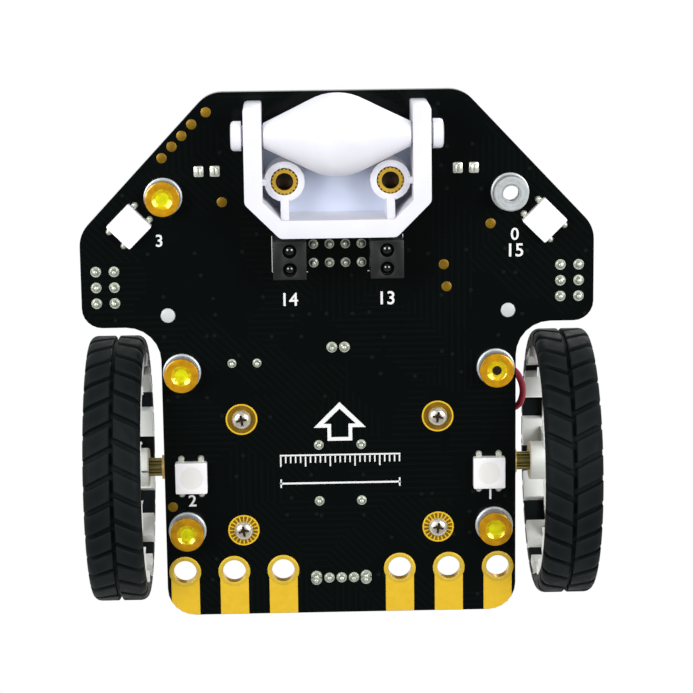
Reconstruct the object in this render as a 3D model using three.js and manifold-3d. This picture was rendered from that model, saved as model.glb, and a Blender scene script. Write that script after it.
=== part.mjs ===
// Line follower robot: a two-wheel robot whose chassis is its own circuit board.
// Millimetres, +Z up. The origin is on the floor under the middle of the board.
// The robot drives towards -Y, so +X is its left-hand side.

import * as THREE from 'three'
import { mergeVertices } from 'three/addons/utils/BufferGeometryUtils.js'
import Module from 'manifold-3d'

const wasm = await Module()
wasm.setup()

// ---------------------------------------------------------------- driving dimensions

// Circuit board
const BOARD_FRONT_Y = -42.87
const BOARD_REAR_Y = 42.5
const BOARD_HALF_WIDTH = 40.8
const BOARD_BOTTOM = 14.9
const BOARD_THICKNESS = 1.6
const BOARD_TOP = BOARD_BOTTOM + BOARD_THICKNESS
const TAIL_HALF_WIDTH = 28.4
const SHOULDER_REAR_Y = -5.55
const NOSE_HALF_WIDTH = 19.95
const NOSE_CHAMFER_Y = -20.7

// Hole rows and fixing points in the board
const LINK_HOLE_PITCH = 8
const LINK_HOLE_X = [9.5, 9.5 + LINK_HOLE_PITCH, 9.5 + 2 * LINK_HOLE_PITCH]
const LINK_HOLE_Y = 35.2
const LINK_HOLE_RADIUS = 1.95
const SPACER_POINTS = { front: [27.4, -26.5], middle: [25.15, 1.85], rear: [24.9, 28.1] }
const SPACER_HOLE_RADIUS = 1.6

// Drive wheels and gear motors
const AXLE_Y = 19.2
const TYRE_RADIUS = 21.7
const AXLE_Z = TYRE_RADIUS
const TYRE_INNER_X = 31.7
const TYRE_OUTER_X = 40.7
// How far each tyre was pressed past the middle of its rim.
const TYRE_SHIFT = { left: 0.25, right: -0.25 }
const HUB_OUTER_X = 40.1
const RIM_OUTER_RADIUS = 18.85
const RIM_INNER_RADIUS = 17.3
const RIM_LUGS = 12
const LUG_DEPTH = 3.3
const LUG_GAP_WIDTH = 4.7
// The middle of one lug, in degrees from the wheel's top towards the rear.
const LUG_START = { left: -1.9, right: -10.9 }
const SPOKES = 6
const SPOKE_X = [34.9, 37.3]
const SPOKE_ROOT_WIDTH = 3.4
const SPOKE_TIP_WIDTH = 2.5
const BOSS_RADIUS = 3.15
const BOSS_X = [31.2, 38.4]
const BOSS_SLIT_WIDTH = 0.4
const BOSS_SLIT_END_X = 34.7
const MOTOR_TAIL_X = 3.9
const MOTOR_BEARING_RADIUS = 2
const MOTOR_BEARING_LENGTH = 0.9
const GEARBOX_BACK_X = 18.9
const GEARBOX_FRONT_X = 27.9
const MOTOR_HALF_WIDTH = 6
const MOTOR_HALF_HEIGHT = 4.95
const PLATE_THICKNESS = 0.8
const POST_RADIUS = 0.6
const POST_AT = [5.2, 4.1]
const BUSH_RADIUS = 2
const BUSH_LENGTH = 1.2
const SHAFT_RADIUS = 1.5
const SHAFT_END_X = 37.8
const SHAFT_FLAT_DEPTH = 0.5

// Gear train: four meshes of the same pair on two axes
const GEAR_MODULE = 0.17
const PINION_TEETH = 8
const WHEEL_TEETH = 28
const GEAR_OFFSET = ((PINION_TEETH + WHEEL_TEETH) * GEAR_MODULE) / 2
// A tooth's height and depth in modules, and half its root width in tooth pitches.
const ADDENDUM = 0.7
const DEDENDUM = 0.95
const TOOTH_ROOT_SHARE = 0.33
const JOURNAL_RADIUS = 0.4
const PINION_SHAFT_RADIUS = 0.5
const PINION_SHAFT_START_X = 14.4
const PINION_BORE_X = 13.9
const PINION_HOLE_RADIUS = 1.15

// Motor brackets
const BRACKET_X = 15.8
const BRACKET_WIDTH = 12
const BRACKET_Y = 19.05
const BRACKET_SCREW_OFFSET = 9.25
const BRACKET_SIDE_PLAY = 0.25

// Front roller and its bracket
const ROLLER_Y = -36.95
const ROLLER_RADIUS = 6.45
const ARM_OUTER_X = 14.4
const ARM_INNER_X = 11.6
const CASTER_FRONT_Y = -41.5
const CASTER_REAR_Y = -21.2
const CASTER_WALL_THICKNESS = ARM_OUTER_X - ARM_INNER_X
const CASTER_WALL_BOTTOM = 4.2
const CASTER_SCREW_X = 8.2
const CASTER_SCREW_Y = -29.65
const ROLLER_AXLE_RADIUS = 1.6
const ROLLER_CAP_RADIUS = 2.3
const ROLLER_END_X = 16.35
const INSERT_RADIUS = 2.05
const INSERT_BORE_RADIUS = 1.4
const INSERT_BOTTOM = 7.35
const INSERT_TOP = 11.3

// Clearances
const FIT = 0.05
const RUNNING = 0.3

// ---------------------------------------------------------------- finishes

const finish = (color, roughness, metalness) =>
  new THREE.MeshStandardMaterial({ color, roughness, metalness })

const LOOK = {
  board: finish(0x0d110f, 0.25, 0),
  whitePlastic: finish(0xf2f2f0, 0.45, 0),
  rubber: finish(0x16191a, 0.8, 0),
  steel: finish(0xb9bcc0, 0.3, 1),
  nickel: finish(0xcfd0cf, 0.25, 1),
  brass: finish(0xd9a441, 0.3, 1),
  blackPlastic: finish(0x1b1d1f, 0.55, 0),
  greyPlastic: finish(0x3a3f42, 0.5, 0),
  ledWhite: finish(0xf4f5f8, 0.35, 0),
  blueBoard: finish(0x12315c, 0.35, 0),
  cell: finish(0x8f9498, 0.35, 0.4),
  redWire: finish(0xb8122c, 0.4, 0),
  blackWire: finish(0x151515, 0.4, 0),
}

// ---------------------------------------------------------------- geometry helpers

const robot = new THREE.Group()

// Turns a shape to face outwards whichever way its outline ran.
function outward(geometry) {
  const at = geometry.getAttribute('position')
  const index = geometry.getIndex()
  const [a, b, c] = [new THREE.Vector3(), new THREE.Vector3(), new THREE.Vector3()]
  let volume = 0
  for (let i = 0; i < index.count; i += 3) {
    a.fromBufferAttribute(at, index.getX(i))
    b.fromBufferAttribute(at, index.getX(i + 1))
    c.fromBufferAttribute(at, index.getX(i + 2))
    volume += a.dot(b.cross(c))
  }
  if (volume < 0) index.array.reverse()
  return geometry
}

// A bare closed mesh whose corners are shared.
function welded(geometry) {
  const bare = geometry.clone()
  bare.deleteAttribute('normal')
  bare.deleteAttribute('uv')
  return outward(mergeVertices(bare, 1e-4))
}

function solid(geometry) {
  const bare = welded(geometry)
  return new wasm.Manifold(
    new wasm.Mesh({
      numProp: 3,
      vertProperties: new Float32Array(bare.getAttribute('position').array),
      triVerts: new Uint32Array(bare.getIndex().array),
    }),
  )
}

function geometryOf(body) {
  const cutMesh = body.getMesh()
  const geometry = new THREE.BufferGeometry()
  geometry.setAttribute('position', new THREE.BufferAttribute(cutMesh.vertProperties, 3))
  geometry.setIndex(new THREE.BufferAttribute(cutMesh.triVerts, 1))
  return geometry
}

const join = (...parts) => parts.map(solid).reduce((whole, part) => whole.add(part))
const cut = (base, ...tools) => tools.map(solid).reduce((whole, tool) => whole.subtract(tool), base)

function piece(name, shape, look) {
  const geometry = shape instanceof THREE.BufferGeometry ? welded(shape) : geometryOf(shape)
  const mesh = new THREE.Mesh(geometry, look)
  mesh.name = name
  robot.add(mesh)
  return mesh
}

// An outline in a plane lifted from one height to another, along Z or along X.
function prismZ(shape, z0, z1) {
  const geometry = new THREE.ExtrudeGeometry(shape, { depth: z1 - z0, bevelEnabled: false })
  return geometry.translate(0, 0, z0)
}

const X = new THREE.Vector3(1, 0, 0)
const Y = new THREE.Vector3(0, 1, 0)
const Z = new THREE.Vector3(0, 0, 1)

// The outline's first coordinate lies along Y and its second along Z.
function prismX(shape, xa, xb) {
  const [low, high] = [Math.min(xa, xb), Math.max(xa, xb)]
  const geometry = new THREE.ExtrudeGeometry(shape, { depth: high - low, bevelEnabled: false })
  return geometry.applyMatrix4(new THREE.Matrix4().makeBasis(Y, Z, X)).translate(low, 0, 0)
}

function block(x0, x1, y0, y1, z0, z1) {
  const geometry = new THREE.BoxGeometry(Math.abs(x1 - x0), Math.abs(y1 - y0), Math.abs(z1 - z0))
  return geometry.translate((x0 + x1) / 2, (y0 + y1) / 2, (z0 + z1) / 2)
}

function rodZ(radius, x, y, z0, z1, sides = 16) {
  const geometry = new THREE.CylinderGeometry(radius, radius, z1 - z0, sides)
  return geometry.rotateX(Math.PI / 2).translate(x, y, (z0 + z1) / 2)
}

function rodX(radius, xa, xb, y, z, sides = 16) {
  const geometry = new THREE.CylinderGeometry(radius, radius, Math.abs(xb - xa), sides)
  return geometry.rotateX(Math.PI / 2).rotateY(Math.PI / 2).translate((xa + xb) / 2, y, z)
}

function rodY(radius, x, z, ya, yb, sides = 16) {
  const geometry = new THREE.CylinderGeometry(radius, radius, Math.abs(yb - ya), sides)
  return geometry.translate(x, (ya + yb) / 2, z)
}

// Turned pieces: each profile point is [radius, distance along the axis].
function turned(profile, sides) {
  return new THREE.LatheGeometry(profile.map(([r, along]) => new THREE.Vector2(r, along)), sides)
}
const turnedZ = (profile, x, y, sides = 24) =>
  turned(profile, sides).rotateX(Math.PI / 2).translate(x, y, 0)
const turnedX = (profile, y, z, sides = 24) =>
  turned(profile, sides).rotateZ(-Math.PI / 2).translate(0, y, z)

// A closed outline through corners [x, y, radius], each corner rounded by its radius.
function roundedOutline(corners, steps = 6) {
  const points = []
  corners.forEach(([x, y, radius = 0], i) => {
    const here = new THREE.Vector2(x, y)
    if (radius === 0) {
      points.push(here)
      return
    }
    const before = corners[(i + corners.length - 1) % corners.length]
    const after = corners[(i + 1) % corners.length]
    const toBefore = new THREE.Vector2(before[0] - x, before[1] - y).normalize()
    const toAfter = new THREE.Vector2(after[0] - x, after[1] - y).normalize()
    const half = Math.acos(toBefore.dot(toAfter)) / 2
    const inward = toBefore.clone().add(toAfter).normalize()
    const centre = inward.multiplyScalar(radius / Math.sin(half)).add(here)
    const start = toBefore.clone().multiplyScalar(radius / Math.tan(half)).add(here).sub(centre)
    const end = toAfter.clone().multiplyScalar(radius / Math.tan(half)).add(here).sub(centre)
    let sweep = end.angle() - start.angle()
    if (sweep > Math.PI) sweep -= 2 * Math.PI
    if (sweep < -Math.PI) sweep += 2 * Math.PI
    for (let k = 0; k <= steps; k += 1) {
      points.push(start.clone().rotateAround(new THREE.Vector2(), (sweep * k) / steps).add(centre))
    }
  })
  return new THREE.Shape(points)
}

const rectangle = (x0, x1, y0, y1, radius = 0, steps = 3) =>
  roundedOutline([[x0, y0, radius], [x1, y0, radius], [x1, y1, radius], [x0, y1, radius]], steps)

// The same corners again on the other side of the first axis.
const mirrored = (half) => [...half, ...half.map(([x, ...rest]) => [-x, ...rest]).reverse()]

function addHole(shape, x, y, radius, sides) {
  const hole = []
  for (let k = 0; k < sides; k += 1) {
    const angle = (2 * Math.PI * k) / sides
    hole.push(new THREE.Vector2(x + radius * Math.cos(angle), y + radius * Math.sin(angle)))
  }
  shape.holes.push(new THREE.Path(hole))
}

const sides = [['left', 1], ['right', -1]]
const spacerPlaces = sides.flatMap(([side, s]) =>
  Object.entries(SPACER_POINTS).map(([place, [x, y]]) => ({ name: `${place}_${side}`, x: s * x, y })))
const bracketScrews = sides.flatMap(([side, s]) =>
  [['front', -1], ['rear', 1]].map(([end, e]) => ({
    name: `${side}_${end}`, x: s * BRACKET_X, y: BRACKET_Y + e * BRACKET_SCREW_OFFSET,
  })))

// ---------------------------------------------------------------- circuit board

const SLOT_PEG_X = 27.15
const SLOT_PEG_HOLE_RADIUS = 1.25
const SLOT_Y = -7.4
const CASTER_BOARD_HOLE_RADIUS = 1.5
const BRACKET_HOLE_RADIUS = 1.05

function mainBoard() {
  const shape = roundedOutline(mirrored([
    [NOSE_HALF_WIDTH, BOARD_FRONT_Y, 5],
    [BOARD_HALF_WIDTH, NOSE_CHAMFER_Y, 5],
    [BOARD_HALF_WIDTH, SHOULDER_REAR_Y, 3.2],
    [TAIL_HALF_WIDTH, SHOULDER_REAR_Y, 5.5],
    [TAIL_HALF_WIDTH, BOARD_REAR_Y, 4.5],
  ]))
  for (const [, s] of sides) {
    LINK_HOLE_X.forEach((x) => addHole(shape, s * x, LINK_HOLE_Y, LINK_HOLE_RADIUS, 16))
    addHole(shape, s * CASTER_SCREW_X, CASTER_SCREW_Y, CASTER_BOARD_HOLE_RADIUS, 10)
    addHole(shape, s * SLOT_PEG_X, SLOT_Y, SLOT_PEG_HOLE_RADIUS, 10)
  }
  spacerPlaces.forEach(({ x, y }) => addHole(shape, x, y, SPACER_HOLE_RADIUS, 12))
  bracketScrews.forEach(({ x, y }) => addHole(shape, x, y, BRACKET_HOLE_RADIUS, 10))
  piece('main_board', prismZ(shape, BOARD_BOTTOM, BOARD_TOP), LOOK.board)
}

// ---------------------------------------------------------------- threaded spacers under the board

const SPACER_BOTTOM = 11.9

function threadedSpacer({ name, x, y }) {
  const top = BOARD_BOTTOM - FIT
  const profile = [
    [1.25, SPACER_BOTTOM + 0.4], [1.65, SPACER_BOTTOM], [2.75, SPACER_BOTTOM],
    [2.75, top - 0.4], [3.05, top - 0.4], [3.05, top], [1.25, top], [1.25, SPACER_BOTTOM + 0.4],
  ]
  piece(`threaded_spacer_${name}`, turnedZ(profile, x, y, 12), LOOK.nickel)
}

// ---------------------------------------------------------------- gear motors

const motorOutline = roundedOutline([
  [-MOTOR_HALF_WIDTH, -MOTOR_HALF_HEIGHT, 3.6], [MOTOR_HALF_WIDTH, -MOTOR_HALF_HEIGHT, 3.6],
  [MOTOR_HALF_WIDTH, MOTOR_HALF_HEIGHT, 3.6], [-MOTOR_HALF_WIDTH, MOTOR_HALF_HEIGHT, 3.6],
], 4)
const gearboxOutline = rectangle(
  -MOTOR_HALF_WIDTH, MOTOR_HALF_WIDTH, -MOTOR_HALF_HEIGHT, MOTOR_HALF_HEIGHT, 0.8, 1,
)
const onAxle = (geometry) => geometry.translate(0, AXLE_Y, AXLE_Z)

function motorCan(side, s) {
  const bearingEnd = s * (MOTOR_TAIL_X - MOTOR_BEARING_LENGTH)
  const can = join(
    onAxle(prismX(motorOutline, s * MOTOR_TAIL_X, s * (GEARBOX_BACK_X - FIT))),
    rodX(MOTOR_BEARING_RADIUS, bearingEnd, s * (MOTOR_TAIL_X + 1), AXLE_Y, AXLE_Z, 12),
  )
  const boreRadius = PINION_SHAFT_RADIUS + RUNNING
  const shaftBore = rodX(boreRadius, s * PINION_BORE_X, s * (GEARBOX_BACK_X + 1), AXLE_Y, AXLE_Z, 8)
  piece(`${side}_motor_can`, cut(can, shaftBore), LOOK.steel)
}

function gearboxFrame(side, s) {
  const plate = (from) => onAxle(prismX(gearboxOutline, s * from, s * (from + PLATE_THICKNESS)))
  const [postY, postZ] = POST_AT
  const [postBack, postFront] = [s * (GEARBOX_BACK_X + 0.2), s * (GEARBOX_FRONT_X - 0.2)]
  const posts = [[-postY, -postZ], [postY, -postZ], [postY, postZ], [-postY, postZ]].map(([y, z]) =>
    rodX(POST_RADIUS, postBack, postFront, AXLE_Y + y, AXLE_Z + z, 6))
  const bush = rodX(BUSH_RADIUS, postFront, s * (GEARBOX_FRONT_X + BUSH_LENGTH), AXLE_Y, AXLE_Z, 20)
  const frame = join(plate(GEARBOX_BACK_X), plate(GEARBOX_FRONT_X - PLATE_THICKNESS), bush, ...posts)
  const [back, front] = [s * (GEARBOX_BACK_X - 1), s * (GEARBOX_FRONT_X + 1)]
  const journalHoles = [-GEAR_OFFSET, GEAR_OFFSET].map((y) =>
    rodX(JOURNAL_RADIUS + RUNNING, back, front, AXLE_Y + y, AXLE_Z, 10))
  const pinionHole = rodX(PINION_HOLE_RADIUS, back, s * (GEARBOX_BACK_X + 2), AXLE_Y, AXLE_Z, 12)
  const shaftHole = rodX(SHAFT_RADIUS + RUNNING, s * (GEARBOX_FRONT_X - 2), s * (GEARBOX_FRONT_X + 2),
    AXLE_Y, AXLE_Z, 20)
  piece(`${side}_gearbox_frame`, cut(frame, ...journalHoles, pinionHole, shaftHole), LOOK.brass)
}

// A spur gear's outline: pointed teeth, slim enough to turn freely in the next gear's gaps.
// phase is the angle of one tooth, in tooth pitches, from the first axis.
function gearOutline(teeth, phase) {
  const pitchRadius = (teeth * GEAR_MODULE) / 2
  const [tip, root] = [pitchRadius + ADDENDUM * GEAR_MODULE, pitchRadius - DEDENDUM * GEAR_MODULE]
  const corners = []
  for (let k = 0; k < teeth; k += 1) {
    for (const [radius, shift] of [[root, -TOOTH_ROOT_SHARE], [tip, 0], [root, TOOTH_ROOT_SHARE]]) {
      const angle = (2 * Math.PI * (k + phase + shift)) / teeth
      corners.push([radius * Math.cos(angle), radius * Math.sin(angle)])
    }
  }
  return roundedOutline(corners)
}

const gearAt = (s, y, teeth, phase, from, to) =>
  prismX(gearOutline(teeth, phase), s * from, s * to).translate(0, AXLE_Y + y, AXLE_Z)

// Planes of the four meshes, measured from the middle of the robot.
const MESH = { first: 20.1, second: 21.9, third: 23.5, fourth: 25.2 }
const GEAR_WIDTH = 1.2
const STUB_END_X = 27.4

function gearTrain(side, s) {
  const journal = (y, from, to) => rodX(JOURNAL_RADIUS, s * from, s * to, AXLE_Y + y, AXLE_Z, 8)
  const [back, front] = [GEARBOX_BACK_X + 0.05, GEARBOX_FRONT_X - 0.05]

  piece(`${side}_motor_pinion`, join(
    gearAt(s, 0, PINION_TEETH, 0, GEARBOX_BACK_X + 0.2, MESH.first + GEAR_WIDTH + 0.1),
    rodX(PINION_SHAFT_RADIUS, s * PINION_SHAFT_START_X, s * (GEARBOX_BACK_X + 0.6), AXLE_Y, AXLE_Z, 8),
  ), LOOK.brass)

  piece(`${side}_first_gear`, join(
    gearAt(s, -GEAR_OFFSET, WHEEL_TEETH, 0.5, MESH.first, MESH.first + GEAR_WIDTH),
    gearAt(s, -GEAR_OFFSET, PINION_TEETH, 0.5, MESH.first + 1, MESH.second + GEAR_WIDTH + 0.1),
    journal(-GEAR_OFFSET, back, front),
  ), LOOK.brass)

  piece(`${side}_second_gear`, join(
    gearAt(s, 0, WHEEL_TEETH, 0, MESH.second, MESH.second + GEAR_WIDTH),
    gearAt(s, 0, PINION_TEETH, 0, MESH.second + 1, MESH.third + GEAR_WIDTH + 0.1),
    journal(0, MESH.third + 1, STUB_END_X),
  ), LOOK.brass)

  piece(`${side}_third_gear`, join(
    gearAt(s, GEAR_OFFSET, WHEEL_TEETH, 0.5, MESH.third, MESH.third + GEAR_WIDTH),
    gearAt(s, GEAR_OFFSET, PINION_TEETH, 0.5, MESH.third + 1, MESH.fourth + GEAR_WIDTH + 0.3),
    journal(GEAR_OFFSET, back, front),
  ), LOOK.brass)

  const shaft = join(
    gearAt(s, 0, WHEEL_TEETH, 0, MESH.fourth, MESH.fourth + GEAR_WIDTH + 0.3),
    rodX(SHAFT_RADIUS, s * (MESH.fourth + 0.5), s * SHAFT_END_X, AXLE_Y, AXLE_Z, 20),
  )
  const [boreStart, boreEnd] = [s * (MESH.fourth - 1), s * (STUB_END_X + 0.6)]
  const stubBore = rodX(JOURNAL_RADIUS + RUNNING, boreStart, boreEnd, AXLE_Y, AXLE_Z, 10)
  const flatZ = AXLE_Z + SHAFT_RADIUS - SHAFT_FLAT_DEPTH
  const flatStart = GEARBOX_FRONT_X + BUSH_LENGTH + 0.4
  const flat = block(s * flatStart, s * (SHAFT_END_X + 1), AXLE_Y - 2, AXLE_Y + 2, flatZ, flatZ + 2)
  piece(`${side}_output_shaft`, cut(shaft, stubBore, flat), LOOK.steel)
}

// ---------------------------------------------------------------- motor brackets and their screws

const EAR_TOP = 20.3
const EAR_HALF_WIDTH = 3.4
const EAR_REACH = 3.2
const EAR_CORNER = 2.4
const BRACKET_WALL = 0.9
const BRACKET_ROOF = 1.35
const BRACKET_TOP = AXLE_Z + MOTOR_HALF_HEIGHT + FIT + BRACKET_ROOF
const NUT_ACROSS_FLATS = 3.2
const NUT_SEAT_Z = 18.8
const NUT_THICKNESS = 1.3

function hexagon(acrossFlats) {
  const radius = acrossFlats / Math.sqrt(3)
  const corners = []
  for (let k = 0; k < 6; k += 1) {
    const angle = ((k + 0.5) * Math.PI) / 3 + Math.PI / 6
    corners.push([radius * Math.cos(angle), radius * Math.sin(angle)])
  }
  return roundedOutline(corners)
}

function motorBracket(side, s) {
  const channel = MOTOR_HALF_WIDTH + BRACKET_SIDE_PLAY
  const wall = channel + BRACKET_WALL
  const low = BOARD_TOP + FIT
  const ceiling = BRACKET_TOP - BRACKET_ROOF
  const hoop = roundedOutline([
    [-channel, low], [-channel, ceiling], [channel, ceiling], [channel, low],
    [wall, low], [wall, BRACKET_TOP, 1.2], [-wall, BRACKET_TOP, 1.2], [-wall, low],
  ], 3)
  const middle = s * BRACKET_X
  const ears = [-1, 1].map((e) => {
    const ear = roundedOutline([
      [-EAR_HALF_WIDTH, e * (channel + 0.2)], [EAR_HALF_WIDTH, e * (channel + 0.2)],
      [EAR_HALF_WIDTH, e * (BRACKET_SCREW_OFFSET + EAR_REACH), EAR_CORNER],
      [-EAR_HALF_WIDTH, e * (BRACKET_SCREW_OFFSET + EAR_REACH), EAR_CORNER],
    ], 4)
    return prismZ(ear, low, EAR_TOP).translate(middle, BRACKET_Y, 0)
  })
  const body = join(
    prismX(hoop, middle - BRACKET_WIDTH / 2, middle + BRACKET_WIDTH / 2).translate(0, BRACKET_Y, 0),
    ...ears,
  )
  const openings = [-1, 1].flatMap((e) => {
    const y = BRACKET_Y + e * BRACKET_SCREW_OFFSET
    return [
      rodZ(BRACKET_HOLE_RADIUS, middle, y, low - 1, EAR_TOP + 1, 12),
      prismZ(hexagon(NUT_ACROSS_FLATS + 0.2), NUT_SEAT_Z, EAR_TOP + 0.2).translate(middle, y, 0),
    ]
  })
  piece(`${side}_motor_bracket`, cut(body, ...openings), LOOK.whitePlastic)
}

function crossRecess(x, y, z0, z1, length, width) {
  return [
    block(x - length / 2, x + length / 2, y - width / 2, y + width / 2, z0, z1),
    block(x - width / 2, x + width / 2, y - length / 2, y + length / 2, z0, z1),
  ]
}

const BRACKET_SCREW_SHANK_RADIUS = 0.75

function bracketScrew({ name, x, y }) {
  const seat = BOARD_BOTTOM - FIT
  const shankTop = EAR_TOP - 0.1
  const head = [[0, seat - 1.05], [0.85, seat - 1], [1.35, seat - 0.75], [1.55, seat - 0.35], [1.55, seat]]
  const shank = [[BRACKET_SCREW_SHANK_RADIUS, seat], [BRACKET_SCREW_SHANK_RADIUS, shankTop], [0, shankTop]]
  const screw = cut(
    solid(turnedZ([...head, ...shank], x, y, 12)),
    ...crossRecess(x, y, seat - 2, seat - 0.5, 1.7, 0.45),
  )
  piece(`${name}_bracket_screw`, screw, LOOK.nickel)
}

function bracketNut({ name, x, y }) {
  const shape = hexagon(NUT_ACROSS_FLATS)
  addHole(shape, 0, 0, 0.82, 10)
  const nut = prismZ(shape, NUT_SEAT_Z + FIT, NUT_SEAT_Z + NUT_THICKNESS).translate(x, y, 0)
  piece(`${name}_bracket_nut`, nut, LOOK.nickel)
}

// ---------------------------------------------------------------- drive wheels

function wheelHub(side, s) {
  const radial = (angle, geometry) => onAxle(geometry.rotateX(s * angle))
  // The rim's lugs end level with the tyre's inner face.
  const innerX = TYRE_INNER_X + TYRE_SHIFT[side]
  const rim = turnedX([
    [RIM_INNER_RADIUS, s * innerX], [RIM_OUTER_RADIUS, s * innerX],
    [RIM_OUTER_RADIUS, s * HUB_OUTER_X], [RIM_INNER_RADIUS, s * HUB_OUTER_X],
    [RIM_INNER_RADIUS, s * innerX],
  ], AXLE_Y, AXLE_Z, 48)
  const boss = rodX(BOSS_RADIUS, s * BOSS_X[0], s * BOSS_X[1], AXLE_Y, AXLE_Z, 20)
  const spokes = []
  for (let k = 0; k < SPOKES; k += 1) {
    const [root, tip] = [BOSS_RADIUS - 1.15, RIM_INNER_RADIUS + 0.3]
    const [wide, narrow] = [SPOKE_ROOT_WIDTH / 2, SPOKE_TIP_WIDTH / 2]
    const spoke = roundedOutline([[-wide, root], [wide, root], [narrow, tip], [-narrow, tip]])
    spokes.push(radial((2 * Math.PI * k) / SPOKES, prismX(spoke, s * SPOKE_X[0], s * SPOKE_X[1])))
  }
  const outside = s * (BOSS_X[0] - 1)
  const gaps = []
  for (let k = 0; k < RIM_LUGS; k += 1) {
    const angle = ((LUG_START[side] + (360 / RIM_LUGS) * (k + 0.5)) * Math.PI) / 180
    const gap = block(outside, s * (innerX + LUG_DEPTH), -LUG_GAP_WIDTH / 2, LUG_GAP_WIDTH / 2,
      RIM_INNER_RADIUS - 1.8, RIM_OUTER_RADIUS + 2.15)
    gaps.push(onAxle(gap.rotateX(-angle)))
  }
  const boreEnd = SHAFT_END_X + 0.2
  const bore = rodX(SHAFT_RADIUS + FIT, outside, s * boreEnd, AXLE_Y, AXLE_Z, 20)
  const flatZ = AXLE_Z + SHAFT_RADIUS - SHAFT_FLAT_DEPTH + 0.1
  const flatFill = block(s * (BOSS_X[0] + 0.1), s * (boreEnd + 0.3), AXLE_Y - 1.4, AXLE_Y + 1.4,
    flatZ, flatZ + 0.9)
  const slit = block(outside, s * BOSS_SLIT_END_X, AXLE_Y - BOSS_SLIT_WIDTH / 2, AXLE_Y + BOSS_SLIT_WIDTH / 2,
    AXLE_Z - BOSS_RADIUS - 0.85, AXLE_Z)
  const hub = cut(cut(join(rim, boss, ...spokes), ...gaps, bore).add(solid(flatFill)), slit)
  piece(`${side}_wheel_hub`, hub, LOOK.whitePlastic)
}

function tyre(side, s) {
  const seat = RIM_OUTER_RADIUS + FIT
  const [inner, outer] = [TYRE_INNER_X + TYRE_SHIFT[side], TYRE_OUTER_X + TYRE_SHIFT[side]]
  const shoulder = [[0, 1.2], [0.4, 0.4], [1.3, 0]]
  const profile = [
    [seat, inner + 0.1],
    ...shoulder.map(([drop, inset]) => [TYRE_RADIUS - drop, inner + inset]).reverse(),
    ...shoulder.map(([drop, inset]) => [TYRE_RADIUS - drop, outer - inset]),
    [seat, outer - 0.1], [seat, inner + 0.1],
  ]
  piece(`${side}_tyre`, turnedX(profile.map(([r, x]) => [r, s * x]), AXLE_Y, AXLE_Z, 48), LOOK.rubber)
}

// ---------------------------------------------------------------- front roller

const CASTER_CORNER = 5.4
const CASTER_INNER_CORNER = 2.9
const CASTER_BASE_FRONT_Y = -34
const CASTER_BOSS_RADIUS = 3.15
const CASTER_BOSS_BOTTOM = 7.4
const SIDE_RIB_BOTTOM = 6.6
const REAR_RIB_BOTTOM = [7.4, 4.5]

function casterBracket() {
  const top = BOARD_BOTTOM - FIT
  const innerRear = CASTER_REAR_Y - CASTER_WALL_THICKNESS
  const outer = [
    [ARM_OUTER_X, CASTER_FRONT_Y, 0.6], [ARM_OUTER_X, CASTER_REAR_Y - CASTER_CORNER, 1],
    [ARM_OUTER_X - CASTER_CORNER, CASTER_REAR_Y, 1],
  ]
  const inner = [
    [ARM_INNER_X, CASTER_FRONT_Y, 0.3], [ARM_INNER_X, innerRear - CASTER_INNER_CORNER],
    [ARM_INNER_X - CASTER_INNER_CORNER, innerRear],
  ]
  const walls = roundedOutline([
    ...outer,
    ...outer.map(([x, y, r]) => [-x, y, r]).reverse(),
    ...inner.map(([x, y, r]) => [-x, y, r]),
    ...[...inner].reverse(),
  ], 2)
  const baseShape = roundedOutline(mirrored([
    [ARM_INNER_X + 0.6, CASTER_BASE_FRONT_Y],
    [ARM_INNER_X + 0.6, innerRear - CASTER_INNER_CORNER + 0.6],
    [ARM_INNER_X - CASTER_INNER_CORNER + 0.6, innerRear + 0.6],
  ]))
  const rearRib = roundedOutline([
    [CASTER_SCREW_Y + 2.6, top - 0.5], [CASTER_SCREW_Y + 2.6, REAR_RIB_BOTTOM[0]],
    [innerRear + 0.5, REAR_RIB_BOTTOM[1]], [innerRear + 0.5, top - 0.5],
  ])
  const bosses = [-1, 1].flatMap((s) => {
    const x = s * CASTER_SCREW_X
    return [
      rodZ(CASTER_BOSS_RADIUS, x, CASTER_SCREW_Y, CASTER_BOSS_BOTTOM, top - 0.5, 20),
      prismX(rearRib, x - 0.65, x + 0.65),
      block(x + s * 2.6, s * (ARM_INNER_X + 0.5), CASTER_SCREW_Y - 0.5, CASTER_SCREW_Y + 0.5,
        SIDE_RIB_BOTTOM, top - 0.5),
    ]
  })
  const body = join(prismZ(walls, CASTER_WALL_BOTTOM, top), prismZ(baseShape, top - 1.5, top), ...bosses)
  const axleHoles = rodX(ROLLER_AXLE_RADIUS + RUNNING, -20, 20, ROLLER_Y, ROLLER_RADIUS, 16)
  const sweep = [[0, -11.5], [2.3, -11.5], [ROLLER_RADIUS + 0.75, 0], [2.3, 11.5], [0, 11.5]]
  const rollerSpace = turnedX(sweep, ROLLER_Y, ROLLER_RADIUS, 24)
  const holes = (radius, z0, z1, sideCount) =>
    [-1, 1].map((s) => rodZ(radius, s * CASTER_SCREW_X, CASTER_SCREW_Y, z0, z1, sideCount))
  const insertHoles = holes(INSERT_RADIUS + 0.1, INSERT_BOTTOM - 0.35, INSERT_TOP + 0.1, 16)
  const screwHoles = holes(CASTER_BOARD_HOLE_RADIUS, INSERT_TOP - 2, BOARD_TOP, 12)
  const bracket = cut(body, axleHoles, rollerSpace, ...insertHoles, ...screwHoles)
  piece('caster_bracket', bracket, LOOK.whitePlastic)
}

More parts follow.
